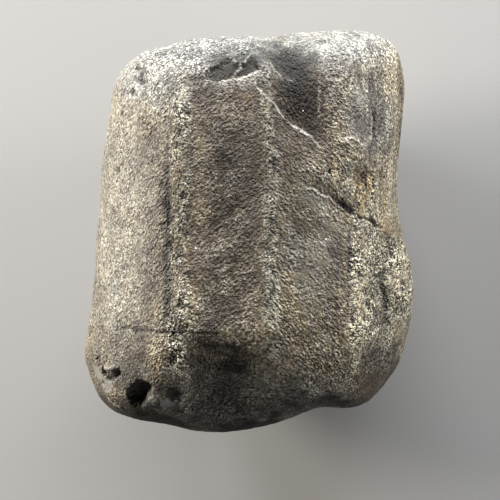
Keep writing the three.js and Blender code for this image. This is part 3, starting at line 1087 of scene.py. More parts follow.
COARSE_PATCHES: tuple[Patch, ...] = (
    Patch((-7.4, 20.5), (2.8, 3.6), 0.7),
    Patch((-10.5, 0.0), (0.8, 17.0), 0.8),
    Patch((-11.0, 21.0), (6.0, 4.0), 0.15),
    Patch((17.0, 16.0), (4.0, 12.0), 0.5),
    Patch((-4.0, 6.0), (3.5, 17.0), 0.35),
    Patch((7.5, 0.0), (4.5, 12.0), -0.45),
    Patch((5.4, 18.5), (3.6, 6.3), 0.5),
    Patch((-17.0, 4.0), (4.5, 22.0), -0.25),
    Patch((10.5, 18.0), (2.5, 7.0), 0.4),
    Patch((-6.2, 2.0), (1.6, 14.0), -0.4),
    Patch((-8.0, 24.5), (13.0, 3.5), 0.7),
    Patch((-8.0, -12.0), (4.0, 6.0), 0.4),
    Patch((-3.0, -19.0), (5.0, 5.0), 0.3),
    Patch((2.0, -22.5), (11.0, 3.5), 0.7),
    Patch((10.5, -18.0), (4.5, 3.5), 0.4),
)


@dataclass(frozen=True)
class SlantedLayer:
    """One layer of slanting noise: its strength, its size along and across the slant, and its seed."""

    strength: float
    size: Point
    seed: Seed
    more_when_coarse: float = 0.0

    def values(self, places: Array, coarse: Array | float = 0.0) -> Array:
        """The layer's height or tone at each place."""
        strength = self.strength + self.more_when_coarse * coarse
        return strength * slanted_noise(places, self.size, self.seed)


CHIPS: tuple[SlantedLayer, ...] = (
    SlantedLayer(0.05, (1.9, 1.3), Seed.COARSE_CHIPS, 0.04),
    SlantedLayer(0.035, (0.95, 0.75), Seed.MIDDLE_CHIPS, 0.035),
    SlantedLayer(0.015, (0.62, 0.42), Seed.FINE_CHIPS, 0.025),
)

BLOTCHES: tuple[SlantedLayer, ...] = (
    SlantedLayer(0.3, (3.6, 2.4), Seed.BROAD_BLOTCHES),
    SlantedLayer(0.2, (1.7, 1.1), Seed.NARROW_BLOTCHES),
)


@dataclass
class FineRelief:
    """The relief that weathering and breaking left on the body, as height in millimetres."""

    jagged_mm: float = 0.17
    jag_sizes: Point = (0.75, 0.33)
    finer_jags: float = 0.7
    crest_mm: float = 0.12
    lump_mm: float = 0.2
    lump_size: Size = (6.5, 8.0, 6.5)
    swelling: SlantedLayer = SlantedLayer(0.06, (4.0, 2.6), Seed.SWELLINGS)
    flute_mm: float = 0.04
    flank_flute_mm: float = 0.14
    flute_size: Size = (1.2, 13.0, 1.2)
    coarse_grain_mm: float = 0.14
    coarse_grain_size: float = 1.3
    fine_grain_mm: float = 0.18
    fine_grain_size: float = 0.7
    pit_mm: float = 0.32
    pit_size: float = 0.9

    def ragged(self, places: Array, scale: float = 1.0) -> Array:
        """Shifts places a little at random, so that lines drawn over them turn out jagged.

        Args:
            places: Rows of u, v, w.
            scale: How much longer and wider the jags are than those of a crack.

        Returns:
            The shifted places.
        """
        large, small = (places / (size * scale) for size in self.jag_sizes)
        shift = [
            lattice_noise(large, seed) + self.finer_jags * lattice_noise(small, seed + 1)
            for seed in (Seed.JAGS_ACROSS, Seed.JAGS_ALONG)
        ]
        moved = places.copy()
        moved[:, :2] += self.jagged_mm * scale * np.stack(shift, 1)
        return moved

    def pressed(self, smooth: Array) -> PressedFace:
        """Presses all ledges, creases, pits and flakes into the face.

        Args:
            smooth: Rows of u, v, w.

        Returns:
            The face with its height and its marks.
        """
        names = ("crevice", "broken", "edge_highlight", "worn", "flat")
        marks = {name: np.zeros(len(smooth)) for name in names}
        face = PressedFace(smooth, self.ragged(smooth), np.zeros(len(smooth)), marks)
        for feature in (*LEDGES, *CREASES, *PITS, *FLAKES):
            feature.press(face)
        for name in names:
            marks[name] = np.clip(marks[name], 0, 1)
        return face

    def weathering(self, places: Array, band: Array, coarse: Array) -> tuple[Array, Array]:
        """Lumps, flutes along the grain, slanting chips and coarse grains.

        Args:
            places: Rows of u, v, w.
            band: The share of pale grain band at each place.
            coarse: How coarse the chips are at each place.

        Returns:
            The height at each place, and how much the finest relief stands up there, from -1 to 1.
        """
        lumps = self.lump_mm * layered_noise(places, self.lump_size, Seed.LUMPS, 3)
        lumps += self.swelling.values(places)
        flutes = self.flute_mm + self.flank_flute_mm * right_flank(places, 12, 17)
        flutes *= layered_noise(places, self.flute_size, Seed.FLUTES, 2)
        chips = sum(layer.values(places, coarse) for layer in CHIPS)
        grains = self.coarse_grain_mm * lattice_noise(places / self.coarse_grain_size, Seed.COARSE_GRAINS)
        grains += self.fine_grain_mm * lattice_noise(places / self.fine_grain_size, Seed.FINE_GRAINS)
        grains *= band
        rarely = np.clip(0.3 * coarse, 0, 1) + 0.5 * band
        hollow = smoothstep(lattice_noise(places / self.pit_size, Seed.SMALL_PITS), 0.25, 0.7)
        pits = -self.pit_mm * rarely * hollow
        fine = chips + grains + pits
        return lumps + flutes + fine, np.clip(fine / self.crest_mm, -1, 1)


# ---------------------------------------------------------------- the skin mesh


@dataclass
class SkinMesh:
    """A closed triangle skin over all directions, finer where the stone's detail is finer."""

    body: WornBody
    frequency: int = 84
    front_share: float = 0.4
    front_edge: float = 0.5
    back_edge: float = 1.1
    line_edge: float = 0.2
    line_reach: float = 0.45
    large_hole: float = 2.0
    passes: int = 1
    margin: float = 0.004

    def directions(self) -> tuple[Array, Array]:
        """An even net of directions: an icosahedron whose faces are cut into small triangles.

        Returns:
            Unit directions and triangles.
        """
        golden = (1 + math.sqrt(5)) / 2
        corners = np.array([
            (-1, golden, 0), (1, golden, 0), (-1, -golden, 0), (1, -golden, 0),
            (0, -1, golden), (0, 1, golden), (0, -1, -golden), (0, 1, -golden),
            (golden, 0, -1), (golden, 0, 1), (-golden, 0, -1), (-golden, 0, 1),
        ])
        faces = np.array([
            (0, 11, 5), (0, 5, 1), (0, 1, 7), (0, 7, 10), (0, 10, 11),
            (1, 5, 9), (5, 11, 4), (11, 10, 2), (10, 7, 6), (7, 1, 8),
            (3, 9, 4), (3, 4, 2), (3, 2, 6), (3, 6, 8), (3, 8, 9),
            (4, 9, 5), (2, 4, 11), (6, 2, 10), (8, 6, 7), (9, 8, 1),
        ])
        count = self.frequency
        number = {}
        weights = []
        for i in range(count + 1):
            for j in range(count + 1 - i):
                number[i, j] = len(weights)
                weights.append((count - i - j, i, j))
        small = []
        for i in range(count):
            for j in range(count - i):
                small.append((number[i, j], number[i + 1, j], number[i, j + 1]))
                if i + j < count - 1:
                    small.append((number[i + 1, j], number[i + 1, j + 1], number[i, j + 1]))
        net = np.array(weights) / count @ corners[faces]
        net = net.reshape(-1, 3)
        net /= np.linalg.norm(net, axis=1)[:, None]
        all_small = np.array(small)[None] + np.arange(len(faces))[:, None, None] * len(weights)
        _, first, merged = np.unique(np.round(net, 7), axis=0, return_index=True, return_inverse=True)
        return net[first], merged.ravel()[all_small.reshape(-1, 3)]

    def leaned(self, even: Array) -> Array:
        """Crowds evenly spread directions towards the broad face."""
        ways = even + np.array([0, 0, self.front_share])
        return ways / np.linalg.norm(ways, axis=1)[:, None]

    def wanted_edge(self, places: Array) -> Array:
        """The longest edge allowed at each place: short near ledges, cracks and rims.

        Args:
            places: Rows of u, v, w.

        Returns:
            One length in millimetres for each row.
        """
        front = smoothstep(places[:, 2], -4, 3)
        wanted = self.back_edge + (self.front_edge - self.back_edge) * front
        near = np.full(len(places), np.inf)
        for line in (*LEDGES, *(crease for crease in CREASES if crease.narrow)):
            off, _, _ = distance_to_line(places, line.line)
            near = self._nearer(near, places, off, line.side)
        for flake in FLAKES:
            off, _, _ = distance_to_line(places, (*flake.outline, flake.outline[0]))
            near = self._nearer(near, places, off, flake.side)
        for hole in (*PITS, *SCARS):
            from_middle = np.hypot(*hole.measure(places))
            size = min(hole.half)
            if size > self.large_hole:
                off = np.abs(from_middle - 1) * size
            else:
                off = np.maximum(from_middle - 1.1, 0) * size
            near = self._nearer(near, places, off, hole.side)
        return np.where(near < self.line_reach, self.line_edge, wanted)

    def _nearer(self, near: Array, places: Array, off: Array, side: Side) -> Array:
        """The lesser of two distances, where the second counts only on its side of the stone."""
        return np.minimum(near, np.where(places[:, 2] * side > 0, off, np.inf))

    def split(self, even: Array, faces: Array) -> tuple[Array, Array]:
        """Halves each edge that is longer than wanted, and cuts its triangles to match.

        Args:
            even: Unit directions.
            faces: Triangles.

        Returns:
            The finer directions and triangles.
        """
        places, _ = self.body.surface(self.leaned(even))
        sides = np.sort(np.stack([faces, np.roll(faces, -1, axis=1)], axis=2).reshape(-1, 2), axis=1)
        edges, of_side = np.unique(sides, axis=0, return_inverse=True)
        of_side = of_side.reshape(-1, 3)
        ends = places[edges]
        length = np.linalg.norm(ends[:, 0] - ends[:, 1], axis=1)
        long = length > self.wanted_edge(ends.mean(1))
        middle = np.full(len(edges), -1)
        middle[long] = len(even) + np.arange(long.sum())
        new = even[edges[long]].sum(1)
        even = np.concatenate([even, new / np.linalg.norm(new, axis=1)[:, None]])
        halves = middle[of_side]
        cut = halves >= 0
        count = cut.sum(1)
        result = [faces[count == 0]]
        for turn in range(3):
            a, b, c = np.roll(faces, -turn, axis=1).T
            m, n, o = np.roll(halves, -turn, axis=1).T
            first, second, third = np.roll(cut, -turn, axis=1).T
            one = first & ~second & ~third
            result += [np.stack(t, 1)[one] for t in ((a, m, c), (m, b, c))]
            two = first & second & ~third
            result += [np.stack(t, 1)[two] for t in ((a, m, c), (m, b, n), (m, n, c))]
            if turn == 0:
                result += [
                    np.stack(t, 1)[count == 3] for t in ((a, m, o), (m, b, n), (o, n, c), (m, n, o))
                ]
        return even, np.concatenate(result)

    def build(self) -> tuple[Array, Array]:
        """The finished net of directions and triangles.

        Returns:
            Unit directions and triangles.
        """
        even, faces = self.directions()
        for _ in range(self.passes):
            even, faces = self.split(even, faces)
        return even, faces

    def flat_places(self, even: Array, faces: Array) -> Array:
        """Lays the whole skin out in a unit square, with equal area for equal solid angle.

        The broad face fills the diamond in the middle, and the back is folded out to the corners.

        Args:
            even: Unit directions.
            faces: Triangles.

        Returns:
            A place in the square for each corner of each triangle.
        """
        corners = even[faces]
        centre = corners.mean(1, keepdims=True)
        behind = centre[:, :, 2:] < 0
        sign = np.where(centre[:, :, :2] < 0, -1.0, 1.0)
        own = np.where(corners[:, :, :2] < 0, -1.0, 1.0)
        sign = np.where(behind, sign, own)
        flat = np.where(behind, np.maximum(corners[:, :, :2] * sign, 0), np.abs(corners[:, :, :2]))
        upward = np.where(behind, -corners[:, :, 2:], corners[:, :, 2:])
        height = np.maximum(upward, 0)[:, :, 0]
        radius = np.sqrt(np.maximum(1 - height, 0))
        turn = np.arctan2(flat[:, :, 1], np.maximum(flat[:, :, 0], 1e-9)) * 2 / math.pi
        v = turn * radius
        u = radius - v
        folded = behind[:, :, 0]
        u, v = np.where(folded, 1 - v, u), np.where(folded, 1 - u, v)
        square = np.stack([u, v], 2) * sign
        return 0.5 + square * (0.5 - self.margin)


# ---------------------------------------------------------------- finishes


class Blend(Enum):
    """How a colour is laid over another: whole, or only its hue."""

    WHOLE = "MIX"
    HUE = "COLOR"


class Tint(Enum):
    """The colours of silicified wood, with the painted sheen, highlights, glints and shade laid on them."""

    GROUND = "#675c44"
    WARM_GROUND = "#5c4b33"
    COOL_GROUND = "#585751"
    # painted sheen: the grey of a lamp's reflection
    PAINTED_SHEEN = "#706f69"
    # dark brown of the stone's own dark tone and of painted shade
    UMBER_AND_SHADE = "#3a2406"
    # dark pores and pale flecks: partly their own colour, partly painted shade and highlights
    PORE_AND_SHADE = "#2a1d0d"
    FLECK_AND_HIGHLIGHT = "#bdb296"
    GRAIN = "#c6bd9d"
    # gaps between band grains: partly their own colour, partly painted shade
    GRAIN_GAP_AND_SHADE = "#1c150c"
    OCHRE = "#8f7648"
    BROKEN = "#44392a"
    # painted shade and dark dirt in cracks, pits, holes and under ledges
    DIRT_AND_SHADE = "#171410"
    # pale worn facets, painted lighter as well where they face the light
    WORN_AND_LIT = "#a6a49c"
    # painted highlight along lit edges and ridges
    EDGE_HIGHLIGHT = "#aca89b"
    GLINT = "#f4f1e6"


@dataclass(frozen=True)
class Pattern:
    """Layered noise: its size across, along and into the grain in millimetres, and its turn."""

    name: str
    size: Size
    detail: float
    roughness: float = 0.6
    degrees: float = 0.0


@dataclass(frozen=True)
class Layer:
    """A colour laid over those below it.

    It shows as strongly as the product of its strength, the marks and patterns that it lies on,
    and the share by which one more of them has risen from its first value to its second.
    """

    tint: Tint
    on: tuple[str, ...] = ()
    rise: tuple[str, float, float] | None = None
    strength: float = 1.0
    blend: Blend = Blend.WHOLE


@dataclass(frozen=True)
class Bump:
    """A relief too fine for the mesh: its pattern, its height, and what its strength follows."""

    pattern: str
    height_mm: float
    follows: str = "rough"
    sunk: bool = False


@dataclass(frozen=True)
class SilicifiedWood:
    """Silicified wood, river-worn: chalcedony and quartz grains, dull in the pores, satin on the skin.

    The eye sees an olive-grey ground of tiny bright crests and dark pores, partly the stone's own
    colour and partly painted highlights and shade, a grey painted sheen in places, cream bands of
    coarse quartz grains, a little ochre iron stain, and dark dirt with painted shade in the cracks
    and holes. The finest real grit is under 0.1 mm, and is drawn coarser so that it shows.
    """

    name: str = "petrified_wood"
    quartz_ior: float = 1.54
    skin_roughness: float = 0.42
    pore_roughness: float = 0.8
    stained_roughness: float = 0.95
    cell_mm: float = 0.3
    glint_mm: float = 2.2
    glint_share: float = 0.06
    rough_gain: float = 2.4
    tone_base: float = 2.1
    lightest_tone: float = 0.8
    patterns: tuple[Pattern, ...] = (
        Pattern("left_specks", (0.56, 0.34, 0.34), 0.6, 0.5, SLANTS[0]),
        Pattern("right_specks", (0.56, 0.34, 0.34), 0.6, 0.5, SLANTS[1]),
        Pattern("grit", (0.23, 0.23, 0.23), 1.5),
        Pattern("grains", (0.34, 0.34, 0.34), 1.0),
        Pattern("streaks", (0.9, 14.0, 0.9), 3.0, 0.55),
        Pattern("mottle", (4.5455, 4.5455, 4.5455), 4.0),
        Pattern("unevenness", (2.2222, 2.2222, 2.2222), 2.0),
    )
    lower_layers: tuple[Layer, ...] = (
        Layer(Tint.WARM_GROUND, rise=("mottle", 0.48, 0.62)),
        Layer(Tint.COOL_GROUND, rise=("streaks", 0.48, 0.62), strength=0.8),
        Layer(Tint.BROKEN, ("broken",), strength=0.8),
        # dark pores and pale flecks: partly the stone's own pores and quartz, partly painted shade and
        # highlights for relief finer than a pixel
        Layer(Tint.PORE_AND_SHADE, rise=("specks", 0.44, 0.3), strength=0.75),
        Layer(Tint.FLECK_AND_HIGHLIGHT, ("rough",), ("specks", 0.56, 0.7), 0.5),
        Layer(Tint.PORE_AND_SHADE, ("rough",), ("cells", 0.42, 0.12), 0.95),
        Layer(Tint.FLECK_AND_HIGHLIGHT, ("rough",), ("cells", 0.7, 0.95), 0.95),
        Layer(Tint.PORE_AND_SHADE, ("rough",), ("grit", 0.5, 0.36), 0.9),
        Layer(Tint.FLECK_AND_HIGHLIGHT, ("rough",), ("grit", 0.54, 0.66), 0.8),
        # darker brown where the tone is low: the stone's own dark tone and painted shade alike
        Layer(Tint.UMBER_AND_SHADE, rise=("tone", 0.2, -1.0), strength=0.6),
        # the bands: dark gaps and pores between the grains are partly their own colour, partly painted
        # shade
        Layer(Tint.GRAIN_GAP_AND_SHADE, ("band",), strength=0.9),
        Layer(Tint.GRAIN, ("band",), ("grains", 0.47, 0.53)),
        Layer(Tint.OCHRE, ("ochre",), ("grains", 0.3, 0.6)),
        Layer(Tint.PORE_AND_SHADE, ("band",), ("cells", 0.34, 0.16)),
        Layer(Tint.GLINT, ("band",), ("cells", 0.76, 0.92), 0.4),
        # painted sheen: turns the hue grey where a reflection would whiten the skin
        Layer(Tint.PAINTED_SHEEN, ("painted_sheen",), blend=Blend.HUE),
    )
    upper_layers: tuple[Layer, ...] = (
        # pale worn facets and rubbed patches, painted lighter as well where they face the light
        Layer(Tint.WORN_AND_LIT, ("worn",)),
        # painted highlight along the lit edges of steps and ridges
        Layer(Tint.EDGE_HIGHLIGHT, ("edge_highlight",), ("grit", 0.32, 0.54)),
        # painted shade and dark dirt: darker in cracks, pits, holes, deep in scars and under ledges
        Layer(Tint.DIRT_AND_SHADE, ("crevice",)),
        Layer(Tint.GLINT, ("glints", "rough"), ("mottle", 0.5, 0.55)),
    )
    bumps: tuple[Bump, ...] = (
        Bump("grit", 0.36),
        Bump("domes", 0.2, sunk=True),
        Bump("specks", 0.6),
        Bump("grains", 1.1, follows="band"),
    )

    def material(self) -> bpy.types.Material:
        """Builds the material.

        Returns:
            The finished material.
        """
        material = bpy.data.materials.new(self.name)
        material.use_nodes = True
        tree = material.node_tree
        tree.nodes.clear()
        output = add_node(tree, "ShaderNodeOutputMaterial")
        place = add_node(tree, "ShaderNodeMapping", {
            "Vector": add_node(tree, "ShaderNodeTexCoord").outputs["Object"],
            "Rotation": (0, -math.radians(FACE_TURN), 0),
            "Scale": (1 / MM, 1 / MM, 1 / MM),
        }).outputs[0]
        looks = {
            name: add_node(tree, "ShaderNodeAttribute", attribute_name=name).outputs["Fac"]
            for name in MARKS
        }
        looks |= self._patterns(tree, place, looks)
        polish = add_node(tree, "ShaderNodeMapRange", {
            "Value": looks["specks"], "From Min": 0.4, "From Max": 0.62,
            "To Min": self.pore_roughness, "To Max": self.skin_roughness,
        }).outputs[0]
        roughness = add_node(tree, "ShaderNodeMapRange", {
            "Value": looks["tone"], "From Min": -0.3, "From Max": -1.2,
            "To Min": polish, "To Max": self.stained_roughness,
        }).outputs[0]
        shader = add_node(tree, "ShaderNodeBsdfPrincipled", {
            "Base Color": self._colour(tree, looks),
            "Roughness": roughness,
            "IOR": self.quartz_ior,
            "Normal": self._relief(tree, looks),
        })
        tree.links.new(shader.outputs[0], output.inputs["Surface"])
        return material

    def _patterns(self, tree: bpy.types.NodeTree, place: bpy.types.NodeSocket, marks: Sockets) -> Sockets:
        """Specks, cells and their domes, grit, quartz grains, streaks, mottling, glints and roughness.

        Args:
            tree: The material's node tree.
            place: The place on the stone in millimetres.
            marks: The stone's marks by name.

        Returns:
            The sockets of the patterns by name, each about 0 to 1.
        """
        found = {}
        for pattern in self.patterns:
            measured = add_node(tree, "ShaderNodeMapping", {
                "Vector": place, "Rotation": (0, 0, math.radians(pattern.degrees)), "Scale": pattern.size,
            }, vector_type="TEXTURE").outputs[0]
            found[pattern.name] = add_node(tree, "ShaderNodeTexNoise", {
                "Vector": measured, "Scale": 1.0, "Detail": pattern.detail, "Roughness": pattern.roughness,
            }).outputs[0]
        cells, sparks = (
            add_node(tree, "ShaderNodeTexVoronoi", {"Vector": place, "Scale": 1 / size, "Randomness": 1.0})
            for size in (self.cell_mm, self.glint_mm)
        )
        uneven = add_node(tree, "ShaderNodeMath", {
            0: found["unevenness"], 1: self.rough_gain, 2: marks["coarse"],
        }, operation="MULTIPLY_ADD").outputs[0]
        return found | {
            "specks": add_node(tree, "ShaderNodeMix", {
                0: marks["slant"], 2: found["left_specks"], 3: found["right_specks"],
            }).outputs[0],
            "cells": add_node(tree, "ShaderNodeSeparateColor", {0: cells.outputs["Color"]}).outputs[0],
            "domes": cells.outputs["Distance"],
            "glints": add_node(tree, "ShaderNodeMath", {
                0: sparks.outputs["Distance"], 1: self.glint_share,
            }, operation="LESS_THAN").outputs[0],
            "rough": add_node(tree, "ShaderNodeMapRange", {
                "Value": uneven, "From Min": 0.0, "From Max": self.rough_gain,
            }).outputs[0],
        }

    def _colour(self, tree: bpy.types.NodeTree, looks: Sockets) -> bpy.types.NodeSocket:
        """Mixes the colours of ground, pores, flecks, bands, stain and breaks with painted sheen,
        highlights and shade, and dark dirt.

        Args:
            tree: The material's node tree.
            looks: The stone's marks and patterns by name.

        Returns:
            The socket of the surface colour.
        """
        lower = self._laid(tree, looks, linear(Tint.GROUND.value), self.lower_layers)
        tone = add_node(tree, "ShaderNodeMath", {
            0: looks["tone"], 1: self.lightest_tone,
        }, operation="MINIMUM").outputs[0]
        # lighter or darker by the tone, which carries painted light and shade as well as the stone's own
        # tone
        brightness = add_node(tree, "ShaderNodeMath", {
            0: self.tone_base, 1: tone,
        }, operation="POWER").outputs[0]
        toned = add_node(tree, "ShaderNodeVectorMath", {
            0: lower, "Scale": brightness,
        }, operation="SCALE").outputs[0]
        return self._laid(tree, looks, toned, self.upper_layers)

    def _laid(
        self, tree: bpy.types.NodeTree, looks: Sockets, colour: Any, layers: tuple[Layer, ...]
    ) -> bpy.types.NodeSocket:
        """Lays layers over a colour, one after another.

        Args:
            tree: The material's node tree.
            looks: The stone's marks and patterns by name.
            colour: The colour below, or its socket.
            layers: The layers from the lowest to the highest.

        Returns:
            The socket of the colour on top.
        """
        for layer in layers:
            parts = [looks[name] for name in layer.on]
            if layer.rise:
                name, none_at, full_at = layer.rise
                parts.append(add_node(tree, "ShaderNodeMapRange", {
                    "Value": looks[name], "From Min": none_at, "From Max": full_at,
                }, interpolation_type="SMOOTHSTEP").outputs[0])
            factor = layer.strength
            for part in parts:
                factor = add_node(tree, "ShaderNodeMath", {
                    0: part, 1: factor,
                }, operation="MULTIPLY").outputs[0]
            colour = add_node(tree, "ShaderNodeMix", {
                0: factor, 6: colour, 7: linear(layer.tint.value),
            }, data_type="RGBA", blend_type=layer.blend.value).outputs[2]
        return colour

    def _relief(self, tree: bpy.types.NodeTree, looks: Sockets) -> bpy.types.NodeSocket:
        """Lays the bumps over each other.

        Args:
            tree: The material's node tree.
            looks: The stone's marks and patterns by name.

        Returns:
            The socket of the surface normal.
        """
        below = {}
        for bump in self.bumps:
            normal = add_node(tree, "ShaderNodeBump", {
                "Strength": looks[bump.follows],
                "Distance": bump.height_mm * MM,
                "Height": looks[bump.pattern],
                **below,
            }, invert=bump.sunk).outputs[0]
            below = {"Normal": normal}
        return normal


@dataclass(frozen=True)
class StudioFloor:
    """Matt painted board, rolled: an even, pale, dull surface."""

    name: str = "studio_floor"
    paint: str = "#989794"
    roughness: float = 0.85

    def material(self) -> bpy.types.Material:
        """Builds the material.

        Returns:
            The finished material.
        """
        material = bpy.data.materials.new(self.name)
        material.use_nodes = True
        shader = material.node_tree.nodes["Principled BSDF"]
        shader.inputs["Base Color"].default_value = linear(self.paint)
        shader.inputs["Roughness"].default_value = self.roughness
        return material


# ---------------------------------------------------------------- sub-assemblies


@dataclass
class PetrifiedStone:
    """The stone: its body, relief and marks, laid down in the row's frame."""

    face_rise: float = 0.15
    resting_cut: float = 2.6
    scar_depths: Point = (0.02, 0.25)
    dirt_and_shade_depths: Point = (0.5, 1.1)
    band_loss_in_scars: float = 0.8
    smoothing_in_scars: float = 0.6
    finer_back: float = 0.5
    # colour follows the fine relief: crests lighter and low places darker, painted light and shade for
    # relief finer than the mesh
    crest_light_and_shade: float = 0.45
    streak_tone: float = 0.5
    body: WornBody = field(default_factory=WornBody)
    relief: FineRelief = field(default_factory=FineRelief)

    def laid_down(self, points: Array) -> Array:
        """Turns points of the face frame to the frame in which the stone lies, in millimetres.

        Args:
            points: Rows of u, v, w.

        Returns:
            Rows of x, y, z.
        """
        turn = math.radians(FACE_TURN)
        u, v = points[:, 0], points[:, 1]
        w = points[:, 2] + self.face_rise * u
        x = u * math.cos(turn) + w * math.sin(turn)
        z = w * math.cos(turn) - u * math.sin(turn)
        return np.stack([x, v, z], 1)

    def build(self) -> bpy.types.Object:
        """Builds the stone's skin with its marks and finish.

        Returns:
            The stone.
        """
        skin = SkinMesh(self.body)
        even, faces = skin.build()
        LOG.info("skin of %d triangles", len(faces))
        smooth, out = self.body.surface(skin.leaned(even))
        places, depth = self.body.cut_scars(smooth)
        face = self.relief.pressed(smooth)
        inside = np.maximum(smoothstep(depth, *self.scar_depths), face.marks["flat"])
        band = np.max([stripe.share(smooth) for stripe in BANDS], axis=0)
        band *= 1 - self.band_loss_in_scars * inside
        coarse = np.sum([patch.share(smooth) for patch in COARSE_PATCHES], axis=0)
        coarse -= self.finer_back * (1 - smoothstep(smooth[:, 2], -10, 4))
        weathered, crest = self.relief.weathering(places, band, coarse)
        height = face.height + weathered * (1 - self.smoothing_in_scars * inside)
        stone = self._object(self._fitted(smooth, places + out * height[:, None]), faces)
        marks = self._marks(face, depth, inside, band, coarse, crest)
        for name in MARKS:
            attribute = stone.data.attributes.new(name, "FLOAT", "POINT")
            attribute.data.foreach_set("value", marks[name])
        layer = stone.data.uv_layers.new(name="OFBake")
        layer.uv.foreach_set("vector", skin.flat_places(even, faces).astype(np.float32).ravel())
        stone.data.materials.append(SilicifiedWood().material())
        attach(stone, "root")
        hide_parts(NODE)
        return stone

    def _fitted(self, smooth: Array, points: Array) -> Array:
        """Lays the stone down on its worn resting place, and fits it to the solid's box.

        Args:
            smooth: Rows of u, v, w on the skin without relief.
            points: Rows of u, v, w on the finished skin.

        Returns:
            Rows of x, y, z in metres.
        """
        laid = self.laid_down(points)
        ground = self.laid_down(smooth)[:, 2].min() + self.resting_cut
        laid[:, 2] = np.maximum(laid[:, 2], ground)
        low, high = (np.array(corner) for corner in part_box(NODE))
        least, most = laid.min(0), laid.max(0)
        return low + (laid - least) / (most - least) * (high - low)

    def _marks(
        self, face: PressedFace, depth: Array, inside: Array, band: Array, coarse: Array, crest: Array
    ) -> dict[str, Array]:
        """Works out the marks that the finish reads.

        Args:
            face: The face with its ledges, cracks, pits and flakes.
            depth: How deep each place lies in a scar or hole, in millimetres.
            inside: The share of scar or facet at each place.
            band: The share of pale grain band at each place.
            coarse: How coarse the chips are at each place.
            crest: How much the finest relief stands up at each place, from -1 to 1.

        Returns:
            A value for each place, by the mark's name.
        """
        smooth, pressed = face.smooth, face.marks
        blurred = self.relief.ragged(smooth, 5.0)
        worn = np.maximum(self._patches(WORN_PATCHES, self.relief.ragged(smooth, 2.0)), pressed["worn"])
        blotches = sum(layer.values(smooth) for layer in BLOTCHES)
        streaks = layered_noise(smooth, (0.9, 8.0, 0.9), Seed.STREAKED_BLOTCHES, 2)
        blotches += self.streak_tone * right_flank(smooth, 11, 15) * streaks
        tone = np.sum([patch.share(blurred) for patch in TONE_AND_PAINTED_LIGHT_PATCHES], axis=0)
        return {
            "band": band,
            "broken": np.clip(0.5 * pressed["broken"] + inside - worn, 0, 1),
            # painted shade and dark dirt, darker the deeper a place lies in a scar or hole
            "crevice": np.clip(pressed["crevice"] + smoothstep(depth, *self.dirt_and_shade_depths), 0, 1),
            "edge_highlight": pressed["edge_highlight"],
            "ochre": self._patches(OCHRE_PATCHES, blurred),
            "worn": worn,
            # painted sheen
            "painted_sheen": self._patches(PAINTED_SHEEN_PATCHES, blurred),
            # the tone: its patches, painted light and shade on the fine relief, and random blotches
            "tone": tone + self.crest_light_and_shade * crest + blotches,
            "slant": slant_share(smooth),
            "coarse": coarse - 1.2 * worn - 0.6 * inside,
        }

    def _patches(self, patches: tuple[Patch, ...], places: Array) -> Array:
        """The greatest share of any of some patches at each place."""
        return np.max([patch.share(places) for patch in patches], axis=0)

    def _object(self, points: Array, faces: Array) -> bpy.types.Object:
        """Makes a smooth-shaded mesh object.

        Args:
            points: Rows of x, y, z in metres.
            faces: Triangles.

        Returns:
            The object, linked to the scene.
        """
        mesh = bpy.data.meshes.new("weathered_stone")
        mesh.from_pydata(points.tolist(), [], faces.tolist())
        mesh.validate()
        mesh.shade_smooth()
        stone = bpy.data.objects.new("weathered_stone", mesh)
        bpy.context.scene.collection.objects.link(stone)
        return stone


@dataclass(frozen=True)
class SoftLamp:
    """A rectangular lamp: its place and sides in metres, its power in watts and its tint."""

    name: str
    place: Vector
    sides: Point
    power: float
    tint: str

    def hang(self, aim: Vector) -> None:
        """Hangs the lamp so that it shines at a point.

        Args:
            aim: The point in metres.
        """
        data = bpy.data.lights.new(self.name, "AREA")
        data.shape = "RECTANGLE"
        data.size, data.size_y = self.sides
        data.energy = self.power
        data.color = linear(self.tint)[:3]
        lamp = bpy.data.objects.new(self.name, data)
        lamp.location = self.place
        x, y, z = np.array(aim) - np.array(self.place)
        lamp.rotation_euler = math.atan2(math.hypot(x, y), -z), 0.0, math.atan2(-x, y)
        bpy.context.scene.collection.objects.link(lamp)


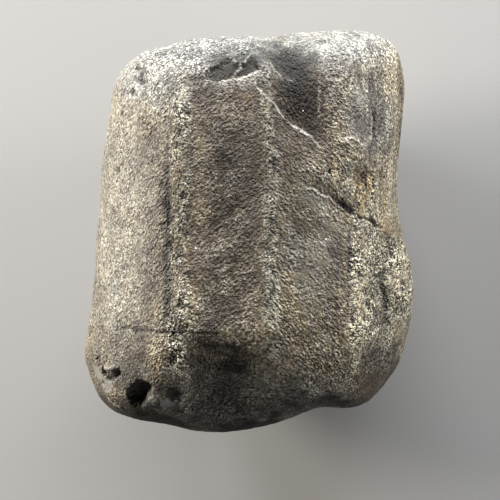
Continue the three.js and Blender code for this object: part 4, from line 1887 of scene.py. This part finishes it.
@dataclass
class Studio:
    """The pale floor, the soft lamps and the camera that looks down on the broad face.

    The main lamp hangs beyond the head, weaker ones beside and below.
    """

    floor_side: float = 3.0
    distance: float = 0.3
    view_width: float = 0.06807
    sensor: float = 36.0
    nearest: float = 0.01
    aim_right: float = 0.00088
    aim_up: float = -0.00232
    middle_height: float = 0.0205
    sky: str = "#e6e8ea"
    sky_strength: float = 0.01
    lamps: tuple[SoftLamp, ...] = (
        SoftLamp("head_lamp", (0.07, 0.43, 0.092), (0.26, 0.12), 6.7, "#f8faff"),
        SoftLamp("corner_lamp", (-0.27, 0.31, 0.16), (0.14, 0.14), 1.7, "#f6f9ff"),
        SoftLamp("left_lamp", (-0.40, 0.11, 0.165), (0.14, 0.14), 3.1, "#fff8ee"),
        SoftLamp("right_lamp", (0.42, 0.13, 0.10), (0.14, 0.12), 2.3, "#fdfdff"),
        SoftLamp("foot_lamp", (0.06, -0.34, 0.2), (0.2, 0.2), 0.12, "#f2f6ff"),
    )

    def build(self) -> None:
        """Builds floor, lamps, surroundings and camera."""
        self._floor()
        for lamp in self.lamps:
            lamp.hang((0, 0, self.middle_height))
        self._surroundings()
        self._camera()

    def _floor(self) -> None:
        """Lays the floor under the stone."""
        half = self.floor_side / 2
        corners = [(-half, -half, 0), (half, -half, 0), (half, half, 0), (-half, half, 0)]
        mesh = bpy.data.meshes.new("floor")
        mesh.from_pydata(corners, [], [(0, 1, 2, 3)])
        floor = bpy.data.objects.new("floor", mesh)
        floor.data.materials.append(StudioFloor().material())
        bpy.context.scene.collection.objects.link(floor)

    def _surroundings(self) -> None:
        """Sets a faint, even grey all round."""
        world = bpy.data.worlds.new("surroundings")
        world.use_nodes = True
        ground = world.node_tree.nodes["Background"]
        ground.inputs["Color"].default_value = linear(self.sky)
        ground.inputs["Strength"].default_value = self.sky_strength
        bpy.context.scene.world = world

    def _camera(self) -> None:
        """Places the camera square to the broad face."""
        turn = math.radians(FACE_TURN)
        data = bpy.data.cameras.new("camera")
        data.sensor_width = self.sensor
        data.lens = self.sensor * self.distance / self.view_width
        data.clip_start = self.nearest
        camera = bpy.data.objects.new("camera", data)
        right = np.array([math.cos(turn), 0, -math.sin(turn)])
        out = np.array([math.sin(turn), 0, math.cos(turn)])
        aim = np.array([0, self.aim_up, self.middle_height]) + right * self.aim_right
        camera.location = aim + out * self.distance
        camera.rotation_euler = (0, turn, 0)
        bpy.context.scene.collection.objects.link(camera)
        bpy.context.scene.camera = camera


def main() -> None:
    """Builds the stone and the studio, and reports each."""
    logging.basicConfig(level=logging.INFO, format="%(message)s")
    stone = PetrifiedStone().build()
    LOG.info("%s: %d faces", stone.name, len(stone.data.polygons))
    Studio().build()
    LOG.info("studio built")
    bpy.context.scene.view_settings.view_transform = "Standard"


if __name__ == "__main__":
    main()
